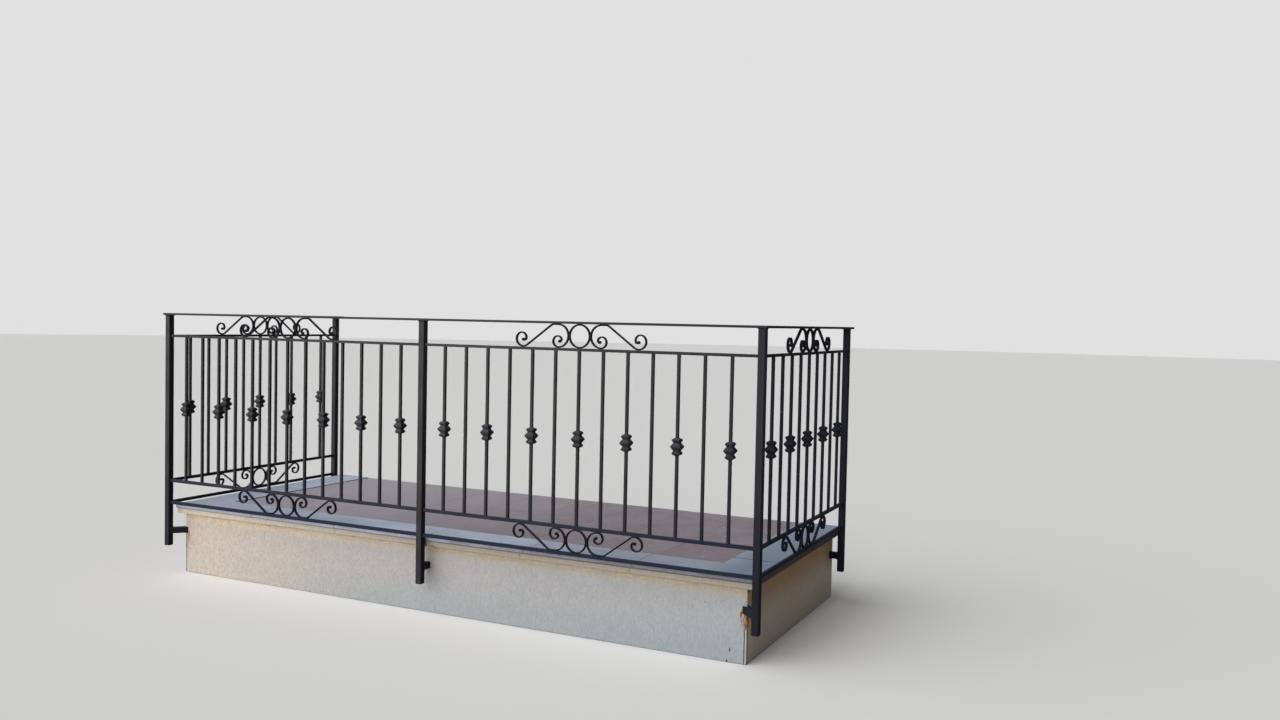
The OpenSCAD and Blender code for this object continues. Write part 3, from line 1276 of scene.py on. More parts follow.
        along = t.scaled(x, self.smudge_x, self.smudge_size[0])
        level = t.scaled(z, self.top, self.smudge_size[1])
        smudge = t.plus(t.math("SQRT", t.squares(along, level)), t.times(run, self.smudge_ragged))
        smudge = t.ramp(smudge, 0.2, 1.2, 0.6, 0.0)
        smudge = t.times(smudge, t.math("LESS_THAN", y, self.corner_y + 0.05))
        return t.mix(smudge, color, self.rust_smudge)


@dataclass(frozen=True)
class BorderStone(Finish):
    """Honed light grey stone with dust, cement film and dark specks, under painted shade towards the
    right and painted light at the left.
    """

    name: str = "border_stone"
    light: Color = srgb(188, 198, 221)
    dark: Color = srgb(172, 182, 206)
    # colours of the painted shade towards the right
    worn: Color = srgb(138, 144, 162)
    bluish: Color = srgb(98, 118, 146)
    # painted light on the outward edges, strongest at the left
    edge: Color = srgb(210, 214, 230)
    grime: Color = srgb(128, 124, 128)
    speck: Color = srgb(120, 118, 122)
    crumb: Color = srgb(92, 84, 76)
    smear: Color = srgb(196, 192, 186)
    rubbed: Color = srgb(150, 140, 130)
    bed_shade: Color = srgb(74, 66, 62)
    gap_shade: Color = srgb(62, 62, 74)
    # colour of the painted shade on faces turned towards +x
    side_shade: Color = srgb(62, 58, 66)
    speck_share: float = 0.25
    crumb_share: float = 0.7
    smear_share: float = 0.25
    rubbed_share: float = 0.4
    side_shade_share: float = 0.8
    specular: float = 0.35
    relief: Relief = Relief(0.4, 0.0006)
    bed: float = 0.1795
    open_joint: float = -0.929
    strip_from: float = 1.35

    def wire(self, t: Tree) -> bpy.types.Node:
        """Wires veins of shade, specks and smears.

        Args:
            t: Tree of the material.

        Returns:
            Its shader node.
        """
        at = t.place()
        grain = t.group(Grain(), at, Fine=380.0, Coarse=7.0)
        tone = t.plus(grain["Tone"], t.times(t.value_of("tone"), 0.18))
        color = t.mix(t.ramp(tone, 0.35, 0.68), self.dark, self.light)
        x = t.axes(at)[0]
        # painted shade: darker and bluer towards the right, deepest on the right strip
        color = t.mix(t.ramp(x, 0.2, 1.2, 0.0, 0.65), color, self.worn)
        color = t.mix(t.ramp(x, 1.3, 1.48, 0.0, 0.8), color, self.bluish)
        specks = t.group(Specks(), at, Scale=160.0, Size=0.25, Share=0.25)["Mask"]
        color = t.mix(t.times(specks, self.speck_share), color, self.speck)
        crumbs = t.group(Specks(), at, Scale=30.0, Size=0.08, Share=0.06)["Mask"]
        color = t.mix(t.times(crumbs, self.crumb_share), color, self.crumb)
        smear = t.ramp(t.noise(at, 6.0, 6.0, 0.7), 0.52, 0.72)
        color = t.mix(t.times(smear, self.smear_share), color, self.smear)
        color = self.soiled_and_shaded(t, color, at)
        wear = t.group(EdgeWear(), at, Edge=t.value_of("edge"), Scale=22.0, Share=0.5)["Mask"]
        color = t.mix(t.times(wear, self.rubbed_share), color, self.rubbed)
        rough = t.ramp(smear, 0.0, 1.0, 0.55, 0.8)
        return t.surface(color, rough, t.plus(grain["Height"], smear), self.relief, self.specular)

    def soiled_and_shaded(self, t: Tree, color: Link, at: Link) -> Link:
        """Wires painted light and grime on the edges that face outward, painted shade in the bed joint
        below them, a dark open joint and painted shade on faces turned to +x.

        Args:
            t: Tree of the material.
            color: Colour so far.
            at: Place of the point.

        Returns:
            The soiled and shaded colour.
        """
        x, y, z = t.axes(at)
        sideways, _, upward = t.facing()
        outward = t.ramp(upward, 0.3, 0.8, 1.0, 0.0)
        # painted light: outward edges lighter towards the left
        color = t.mix(t.times(outward, t.ramp(x, -0.4, 1.2, 0.62, 0.15)), color, self.edge)
        patchy = t.plus(t.ramp(x, -1.2, 1.2, -0.15, 0.4), t.noise(at, 9.0, 4.0, 0.65))
        color = t.mix(t.times(outward, t.ramp(patchy, 0.4, 1.0, 0.0, 0.75)), color, self.grime)
        bed = t.times(outward, t.ramp(z, self.bed + 0.001, self.bed + 0.005, 0.6, 0.0))
        color = t.mix(bed, color, self.bed_shade)
        gap = t.ramp(t.size(t.minus(y, self.open_joint)), 0.004, 0.009, 0.85, 0.0)
        gap = t.times(gap, t.math("GREATER_THAN", x, self.strip_from))
        color = t.mix(gap, color, self.gap_shade)
        # painted shade on faces turned towards +x
        return t.mix(t.ramp(sideways, *SIDEWAYS, 0.0, self.side_shade_share), color, self.side_shade)


@dataclass(frozen=True)
class FloorTile(Finish):
    """Matt reddish brown floor tile under building dust."""

    name: str = "floor_tile"
    warm: Color = srgb(124, 113, 121)
    brown: Color = srgb(113, 100, 108)
    pale: Color = srgb(170, 164, 178)
    scuff: Color = srgb(186, 178, 176)
    drop: Color = srgb(206, 200, 192)
    scuff_share: float = 0.45
    drop_share: float = 0.7
    scuff_turn: float = 0.5
    paler_left: Span = (-1.5, 0.7)
    rough: float = 0.55
    duller: float = 0.3
    specular: float = 0.35
    relief: Relief = Relief(0.35, 0.0007)

    def wire(self, t: Tree) -> bpy.types.Node:
        """Wires a shade for each tile, dust, scuffs and white specks.

        Args:
            t: Tree of the material.

        Returns:
            Its shader node.
        """
        at = t.place()
        grain = t.group(Grain(), at, Fine=260.0, Coarse=11.0)
        tone = t.plus(t.times(grain["Tone"], 0.7), t.times(t.value_of("tone"), 0.5))
        color = t.mix(t.ramp(tone, 0.2, 0.85), self.brown, self.warm)
        dust = t.group(SettledDust(), at, Scale=4.5, Amount=0.35)["Mask"]
        color = t.mix(dust, color, self.pale)
        # paler towards the left
        color = t.mix(t.ramp(t.axes(at)[0], *self.paler_left, 0.84, 0.0), color, self.pale)
        drawn = t.drawn(at, (1.0, 5.0, 1.0), self.scuff_turn)
        scuff = t.ramp(t.noise(drawn, 11.0, 6.0, 0.75), 0.57, 0.65)
        color = t.mix(t.times(scuff, self.scuff_share), color, self.scuff)
        drops = t.group(Specks(), at, Scale=26.0, Size=0.15, Share=0.3)["Mask"]
        color = t.mix(t.times(drops, self.drop_share), color, self.drop)
        rough = t.plus(self.rough, t.times(t.larger(dust, scuff), self.duller))
        return t.surface(color, rough, t.plus(grain["Height"], drops), self.relief, self.specular)


@dataclass(frozen=True)
class Grout(Finish):
    """Cement grout in the joints, grey and gritty."""

    name: str = "grout"
    dark: Color = srgb(106, 98, 102)
    light: Color = srgb(124, 116, 120)
    fine: float = 500.0
    coarse: float = 18.0
    rough: float = 0.95
    relief: Relief = Relief(0.6, 0.0006)

    def wire(self, t: Tree) -> bpy.types.Node:
        """Wires a gritty surface between two shades.

        Args:
            t: Tree of the material.

        Returns:
            Its shader node.
        """
        grain = t.group(Grain(), t.place(), Fine=self.fine, Coarse=self.coarse)
        color = t.mix(grain["Tone"], self.dark, self.light)
        return t.surface(color, self.rough, grain["Height"], self.relief)


@dataclass(frozen=True)
class Plaster(Grout):
    """Dried splashes of plaster, chalky off-white."""

    name: str = "plaster_splash"
    dark: Color = srgb(176, 172, 164)
    light: Color = srgb(206, 203, 196)
    fine: float = 600.0
    coarse: float = 60.0
    rough: float = 0.9
    relief: Relief = Relief(0.6, 0.0005)


def rounded_loop(half_x: float, half_y: float, radius: float, cuts: int = 4) -> list[Span]:
    """Outline of a rectangle with rounded corners, from its right side anticlockwise.

    Args:
        half_x: Half its width.
        half_y: Half its height.
        radius: Radius of the corners.
        cuts: Steps in each corner.

    Returns:
        Points of the outline.
    """
    points = []
    for quarter, (sx, sy) in enumerate(CORNERS):
        for k in range(cuts + 1):
            angle = math.pi / 2 * (quarter + k / cuts)
            x = sx * (half_x - radius) + radius * math.cos(angle)
            points.append((x, sy * (half_y - radius) + radius * math.sin(angle)))
    return points


def corner_marks(outline: Sequence[Span], cuts: int, face: float) -> list[float]:
    """Edge values round a rounded outline: 1 within its corners, the given one where they end."""
    return [1.0 if 0 < k % (cuts + 1) < cuts else face for k in range(len(outline))]


def placed(x: float, y: float, z: float, degrees: float) -> Matrix:
    """Matrix of a turn about z and then a move."""
    return Matrix.Translation((x, y, z)) @ Matrix.Rotation(math.radians(degrees), 4, "Z")


def disc_faces(rings: int, sides: int) -> list[tuple[int, ...]]:
    """Faces of a disc whose points are its middle and then its rings, from the inner one.

    Args:
        rings: Number of rings.
        sides: Points of each ring.

    Returns:
        The faces.
    """
    faces: list[tuple[int, ...]] = [(0, 1 + k, 1 + (k + 1) % sides) for k in range(sides)]
    for ring in range(rings - 1):
        a, b = 1 + ring * sides, 1 + (ring + 1) * sides
        faces += [(a + k, b + k, b + (k + 1) % sides, a + (k + 1) % sides) for k in range(sides)]
    return faces


@dataclass
class RenderedSlab:
    """The slab body and the lip above it, both rendered."""

    arris: float = 5 * MM
    lip_arris: float = 4 * MM
    grid: float = 14 * MM
    wave: float = 1.3 * MM
    worn_edge: float = 1.4
    slow_scale: float = 3.1
    slow_share: float = 0.7
    quick_scale: float = 21.0
    quick_share: float = 0.3
    side_x: float = 1.4
    front_y: float = -1.1
    smooth: float = 60.0
    finish: LimeRender = field(default_factory=LimeRender)

    def uneven(self, keep_z: float) -> Callable[[Vector, float], Vector]:
        """Makes a warp that draws the trowelled faces in a little.

        Args:
            keep_z: Height that keeps its level, the face that others lie on.

        Returns:
            Function from a point and its edge value to the moved point.
        """

        def warp(point: Vector, edge: float) -> Vector:
            """Moves one point inward by a slow and a quick noise.

            Args:
                point: The point.
                edge: Its edge value.

            Returns:
                The moved point.
            """
            slow = noise.noise(point * self.slow_scale) * 0.5 + 0.5
            quick = noise.noise(point * self.quick_scale) * 0.5 + 0.5
            rough = self.slow_share * slow + self.quick_share * quick
            depth = self.wave * rough * (self.worn_edge if edge else 1.0)
            side = Vector((0.0, 0.0, 0.0))
            if abs(point.z - keep_z) > NEAR and point.y < -NEAR:
                side.x = -math.copysign(depth, point.x) if abs(point.x) > self.side_x else 0.0
                side.y = depth if point.y < self.front_y else 0.0
            return point + side

        return warp

    def build(self) -> None:
        """Builds the slab body and the lip."""
        for node, name, arris in (
            ("slab", "slab_body", self.arris),
            ("edge_band", "edge_lip", self.lip_arris),
        ):
            lo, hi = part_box(node)
            shell = Shell()
            shell.block(lo, hi, arris, self.grid, warp=self.uneven(hi.z))
            shell.build(name, self.finish.material(), Slot.RENDER, [node], smooth=self.smooth)


@dataclass
class StoneBorder:
    """Border stones along the front and the sides. The settled depth is in millimetres."""

    arris: float = 2.0 * MM
    joint: float = 1.6 * MM
    open_joint: float = 4.0 * MM
    depth: float = 5.0 * MM
    shallow: float = 1.2 * MM
    fill_arris: float = 0.2 * MM
    longest: float = 0.53
    step: float = 0.2
    settled: float = 0.25
    right_joints: tuple[float, ...] = (-0.929, -0.408)
    seed: int = 4
    finish: BorderStone = field(default_factory=BorderStone)
    grout: Grout = field(default_factory=Grout)

    def build(self) -> None:
        """Builds the strip of stones of each side, with the grout between them."""
        rng = random.Random(self.seed)
        for name, axis in (("coping_front", 0), ("coping_left", 1), ("coping_right", 1)):
            lo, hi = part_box(name)
            strip = Shell()
            count = math.ceil((hi[axis] - lo[axis]) / self.longest)
            joints = [lo[axis] + (hi[axis] - lo[axis]) * k / count for k in range(1, count)]
            width = self.joint
            if name == "coping_right":
                joints, width = list(self.right_joints), self.open_joint
            ends = [lo[axis], *joints, hi[axis]]
            for start, end in zip(ends, ends[1:]):
                a, b = lo.copy(), hi.copy()
                a[axis] = start + (width / 2 if start in joints else 0)
                b[axis] = end - (width / 2 if end in joints else 0)
                b.z -= rng.uniform(0, self.settled) * MM
                strip.block(a, b, self.arris, self.step, tone=rng.uniform(-1, 1))
            strip.build(name + "_stones", self.finish.material(), Slot.COPING, [name])
            fill = Shell()
            for joint in joints:
                a, b = lo.copy(), hi.copy()
                a[axis], b[axis] = joint - width, joint + width
                inset = Vector((1, 1, 1)) * (self.depth if width > self.joint else self.shallow)
                inset[axis] = 0
                fill.block(a + inset, b - inset, self.fill_arris, self.step)
            fill.build(name + "_joints", self.grout.material(), Slot.COPING)


@dataclass
class TiledFloor:
    """Floor tiles laid from the front, cut at the rear. The settled depth is in millimetres."""

    tile: float = 300 * MM
    joint: float = 1.8 * MM
    arris: float = 0.8 * MM
    sunk: float = 0.8 * MM
    bed_arris: float = 0.3 * MM
    step: float = 0.2
    bed_step: float = 0.3
    settled: float = 0.3
    seed: int = 11
    finish: FloorTile = field(default_factory=FloorTile)
    grout: Grout = field(default_factory=Grout)

    def build(self) -> None:
        """Builds the tiles and the grout bed between them."""
        rng = random.Random(self.seed)
        lo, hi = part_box("tile_floor")
        pitch = self.tile + self.joint
        gap = self.joint / 2
        columns = round((hi.x - lo.x) / pitch)
        width = (hi.x - lo.x) / columns
        rows = math.ceil((hi.y - lo.y) / pitch)
        tiles = Shell()
        for i in range(columns):
            for j in range(rows):
                rear = min(lo.y + (j + 1) * pitch - gap, hi.y)
                a = Vector((lo.x + i * width + gap, lo.y + j * pitch + gap, lo.z))
                b = Vector((lo.x + (i + 1) * width - gap, rear, hi.z))
                b.z -= rng.uniform(0, self.settled) * MM
                tiles.block(a, b, self.arris, self.step, tone=rng.uniform(-1, 1))
        tiles.build("floor_tiles", self.finish.material(), Slot.TILES, ["tile_floor"])
        bed = Shell()
        bed.block(lo, Vector((hi.x, hi.y, hi.z - self.sunk)), self.bed_arris, self.bed_step)
        bed.build("tile_grout", self.grout.material(), Slot.TILES)


@dataclass
class Posts:
    """Square tube posts, open at the foot, welded to the handrail and the brackets."""

    layout: Layout
    wall: float = 3 * MM
    arris: float = 3 * MM
    inner_arris: float = 1 * MM
    cuts: int = 4
    rim: float = 0.5 * MM
    middle_ring: float = 0.3
    face_wear: float = 0.35
    bead: float = 2.4 * MM
    bead_out: float = 0.4 * MM
    bead_drop: float = 0.6 * MM
    seed: int = 21
    finish: IronPaint = field(default_factory=IronPaint)

    def places(self) -> dict[str, Span]:
        """Lists the posts.

        Returns:
            Their names and the x and y of their middles.
        """
        x, y, w = self.layout.post_x, self.layout.post_y, self.layout.wall_y
        return {
            "post_wall_left": (-x, w),
            "post_corner_left": (-x, y),
            "post_middle": (0.0, y),
            "post_corner_right": (x, y),
            "post_wall_right": (x, w),
        }

    def build(self) -> None:
        """Builds each post as a tube with rounded edges and a weld bead at its head."""
        rng = random.Random(self.seed)
        lay = self.layout
        half = lay.post / 2
        outer = rounded_loop(half, half, self.arris, self.cuts)
        inner = rounded_loop(half - self.wall, half - self.wall, self.inner_arris, self.cuts)
        rim = rounded_loop(half - self.rim, half - self.rim, self.arris - self.rim, self.cuts)
        levels = (
            (outer, lay.hand_low),
            (outer, lay.foot + self.middle_ring),
            (outer, lay.foot + self.rim),
            (rim, lay.foot),
            (inner, lay.foot),
            (inner, lay.hand_low),
        )
        edge = corner_marks(outer, self.cuts, self.face_wear)
        reach = half + self.bead_out
        z_bead = lay.hand_low - self.bead_drop
        for name, (x, y) in self.places().items():
            post = Shell()
            rings = [[Vector((x + a, y + b, z)) for a, b in ring] for ring, z in levels]
            post.loft(rings, loop=True, edge=edge)
            loop = [Vector((x + a * reach, y + b * reach, z_bead)) for a, b in CORNERS]
            post.bead(loop, self.bead, rng, loop=True)
            post.build(name + "_tube", self.finish.material(), Slot.IRON, [name])


@dataclass
class Brackets:
    """Square brackets from the posts to the slab, welded to the posts."""

    layout: Layout
    arris: float = 2 * MM
    cuts: int = 2
    bead: float = 2.6 * MM
    bead_out: float = 0.3 * MM
    bead_off: float = 0.8 * MM
    seed: int = 31
    finish: IronPaint = field(default_factory=lambda: IronPaint("iron_bracket", wear=0.5))

    def build(self) -> None:
        """Builds three straight brackets and the two across the corners."""
        lay = self.layout
        gap = lay.post_x - lay.slab_x
        start = lay.post / 2
        for name, x, y, turn in (
            ("bracket_wall_left", -lay.post_x, lay.wall_y, 0),
            ("bracket_middle", 0.0, lay.post_y, 90),
            ("bracket_wall_right", lay.post_x, lay.wall_y, 180),
        ):
            self.arm(name, placed(x, y, lay.bracket_z, turn), lambda t: start, lambda t: gap)
        root = math.sqrt(2)
        for name, x, turn in (
            ("bracket_corner_left", -lay.post_x, 45),
            ("bracket_corner_right", lay.post_x, 135),
        ):
            place = placed(x, lay.post_y, lay.bracket_z, turn)
            self.arm(name, place, lambda t: start * root - abs(t), lambda t: gap * root + abs(t))

    def outline(self, half: float) -> list[Span]:
        """Outline of a bracket with a point half way along each side, where its ends fold.

        Args:
            half: Half its width.

        Returns:
            Points of the outline.
        """
        points = [(half, 0.0), *rounded_loop(half, half, self.arris, self.cuts)]
        split = 1
        for axis, sign, middle in ((0, -1, (0.0, half)), (1, -1, (-half, 0.0)), (0, 1, (0.0, -half))):
            split = next(k for k in range(split, len(points)) if sign * points[k][axis] > 0)
            points.insert(split, middle)
        return points

    def arm(
        self,
        name: str,
        place: Matrix,
        near: Callable[[float], float],
        far: Callable[[float], float],
    ) -> None:
        """Builds one bracket along its own +x axis.

        Args:
            name: Node that it stands for.
            place: Matrix from the post's middle to the row frame.
            near: Where it starts, by the distance to its middle line.
            far: Where it ends, by the distance to its middle line.
        """
        half = self.layout.bracket / 2
        outline = self.outline(half)
        flat = half - self.arris
        edge = [1.0 if abs(a) > flat and abs(b) > flat else 0.0 for a, b in outline]
        ends = [[Vector((cut(a), a, b)) for a, b in outline] for cut in (near, far)]
        rings = [ends[0], [p.lerp(q, 0.5) for p, q in zip(*ends)], ends[1]]
        shell = Shell()
        shell.loft(rings, edge=edge, place=place)
        reach = half + self.bead_out
        loop = [
            Vector((near(a * half) + self.bead_off, a * reach, b * reach))
            for a, b in ((1, 1), (0, 1), (-1, 1), (-1, -1), (0, -1), (1, -1))
        ]
        shell.bead(loop, self.bead, random.Random(self.seed), loop=True, place=place)
        shell.build(name + "_arm", self.finish.material(), Slot.IRON, [name])


@dataclass
class Handrail:
    """Flat handrail on three sides, mitred and welded at the corners."""

    layout: Layout
    width: float = 45 * MM
    arris: float = 2 * MM
    cuts: int = 3
    bead: float = 1.6 * MM
    bead_in: float = 1 * MM
    bead_up: float = 0.6 * MM
    seed: int = 41
    finish: IronPaint = field(default_factory=lambda: IronPaint("iron_handrail", wear=0.42))

    def build(self) -> None:
        """Builds the front and the two sides with their mitres."""
        lay = self.layout
        thick = lay.hand_top - lay.hand_low
        outline = rounded_loop(self.width / 2, thick / 2, self.arris, self.cuts)
        edge = [1.0 if abs(a) > self.width / 2 - self.arris else 0.0 for a, _ in outline]
        z = (lay.hand_low + lay.hand_top) / 2
        front = Shell()
        rings = [
            [Vector((c * (lay.post_x - a), lay.post_y + a, z + b)) for a, b in outline]
            for c in (-1.0, -0.5, 0.0, 0.5, 1.0)
        ]
        front.loft(rings, edge=edge)
        self.seam(front, 1)
        self.seam(front, -1)
        front.build("handrail_front_bar", self.finish.material(), Slot.IRON, ["handrail_front"])
        for name, side in (("handrail_left", -1), ("handrail_right", 1)):
            bar = Shell()
            rings = [
                [Vector((side * (lay.post_x + a), (lay.post_y - a) * c, z + b)) for a, b in outline]
                for c in (1.0, 0.5, 0.0)
            ]
            bar.loft(rings, edge=edge)
            bar.build(name + "_bar", self.finish.material(), Slot.IRON, [name])

    def seam(self, shell: Shell, side: int) -> None:
        """Adds the weld seam across a mitre, ground down but for its underside.

        Args:
            shell: The handrail's front.
            side: -1 for the left corner, 1 for the right one.
        """
        lay = self.layout
        half = self.width / 2 - self.bead_in
        z = lay.hand_low + self.bead_up
        line = [Vector((side * (lay.post_x + t * half), lay.post_y - t * half, z)) for t in (-1.0, 1.0)]
        shell.bead(line, self.bead, random.Random(self.seed + side))


@dataclass
class Panels:
    """Three rails and the upright bars of a bay. The lower two rails are thicker."""

    layout: Layout
    arris: float = 0.9 * MM
    step: float = 0.4
    thicker: float = 2.4 * MM
    downward: float = 0.25
    lower_tone: float = 0.45
    seated: float = 1 * MM
    bead: float = 1.7 * MM
    rail_bead_out: float = 0.3 * MM
    rail_bead_off: float = 0.7 * MM
    bar_bead_out: float = 0.4 * MM
    bar_bead_in: float = 1.2 * MM
    bar_bead_off: float = 0.5 * MM
    seed: int = 51
    finish: IronPaint = field(default_factory=IronPaint)

    def build(self) -> None:
        """Builds the panel of each bay."""
        for bay in Bay:
            self.panel(bay)

    def panel(self, bay: Bay) -> None:
        """Builds one panel with its weld beads.

        Args:
            bay: The bay that it fills.
        """
        lay = self.layout
        rng = random.Random(self.seed + list(Bay).index(bay))
        shell = Shell()
        for z, tone in ((lay.rail_low, 1.0), (lay.rail_lower, self.lower_tone), (lay.rail_upper, 0.0)):
            self.rail(shell, bay, z, tone, rng)
        for x in lay.bar_places(bay):
            self.bar(shell, bay, x, rng)
        name = "panel_" + bay.value
        shell.build(name + "_bars", self.finish.material(), Slot.IRON, [name])

    def rail(self, shell: Shell, bay: Bay, z: float, tone: float, rng: random.Random) -> None:
        """Adds a rail and the weld beads at its ends.

        Args:
            shell: The panel.
            bay: Its bay.
            z: Height of the rail's underside.
            tone: Tone of the rail, above 0 on the thicker ones.
            rng: Source of the beads' unevenness.
        """
        lay, place = self.layout, self.layout.bay_matrix(bay)
        start, end = lay.post / 2, lay.bay_length(bay) - lay.post / 2
        half = lay.bar / 2
        extra = self.thicker if tone else 0.0
        lo, hi = (start, -half, z - extra * self.downward), (end, half, z + lay.bar + extra)
        shell.block(lo, hi, self.arris, self.step, tone=tone, place=place)
        reach = half + self.rail_bead_out
        for x, out in ((start, 1), (end, -1)):
            off = x + out * self.rail_bead_off
            loop = [Vector((off, a * reach, z + half + b * reach)) for a, b in CORNERS]
            shell.bead(loop, self.bead, rng, loop=True, place=place)

    def bar(self, shell: Shell, bay: Bay, x: float, rng: random.Random) -> None:
        """Adds a bar and the weld beads where it meets the rails.

        Args:
            shell: The panel.
            bay: Its bay.
            x: Middle of the bar along the bay.
            rng: Source of the beads' unevenness.
        """
        lay, place = self.layout, self.layout.bay_matrix(bay)
        half = lay.bar / 2
        low, high = lay.rail_lower + lay.bar + self.thicker, lay.rail_upper
        lo, hi = (x - half, -half, low - self.seated), (x + half, half, high + self.seated)
        shell.block(lo, hi, self.arris, self.step, place=place)
        reach = half - self.bar_bead_in
        for z, sign in ((low, 1), (high, -1)):
            for side in (-1, 1):
                off = x + side * (half + self.bar_bead_out)
                line = [Vector((off, a * reach, z + sign * self.bar_bead_off)) for a in (-1.0, 1.0)]
                shell.bead(line, self.bead, rng, place=place)


@dataclass
class CastKnots:
    """Cast knots with three square collars, one on every second bar."""

    layout: Layout
    height: float = 71 * MM
    middle: float = 43 * MM
    collar: float = 34 * MM
    groove: float = 6.5 * MM
    arris: float = 1 * MM
    cuts: int = 3
    steps: int = 60
    smooth: float = 32.0
    finish: IronPaint = field(default_factory=lambda: IronPaint("iron_casting", wear=0.3, gloss=0.5))

    def half_width(self, share: float) -> float:
        """Half the width of a knot at some height.

        Args:
            share: Height from its middle as a share of its half height, -1 to 1.

        Returns:
            Half its width there.
        """
        bar = self.layout.bar / 2
        big, small, low = self.middle / 2, self.collar / 2, bar + self.groove
        outline = (
            (0.0, big),
            (0.05, big),
            (0.14, big - 1.8 * MM),
            (0.42, low),
            (0.48, low),
            (0.6, small - 1.6 * MM),
            (0.7, small),
            (0.78, small),
            (0.87, small - 2 * MM),
            (1.0, bar + 1.5 * MM),
        )
        share = abs(share)
        for (a, here), (b, there) in zip(outline, outline[1:]):
            if share <= b:
                return here + (there - here) * (share - a) / (b - a)
        return outline[-1][1]

    def build(self) -> None:
        """Builds the knots of each bay."""
        lay = self.layout
        z_mid = (lay.rail_upper + lay.rail_lower + lay.bar) / 2
        profile = []
        for k in range(self.steps + 1):
            share = -1 + 2 * k / self.steps
            half = self.half_width(share)
            loop = rounded_loop(half, half, self.arris, self.cuts)
            profile.append((z_mid + share * self.height / 2, loop))
        for bay in Bay:
            shell = Shell()
            for x in lay.bar_places(bay)[::2]:
                rings = [[Vector((x + a, b, z)) for a, b in loop] for z, loop in profile]
                shell.loft(rings, place=lay.bay_matrix(bay))
            name = "knots_" + bay.value
            material = self.finish.material()
            shell.build(name + "_cast", material, Slot.IRON, [name], self.smooth, weighted=False)


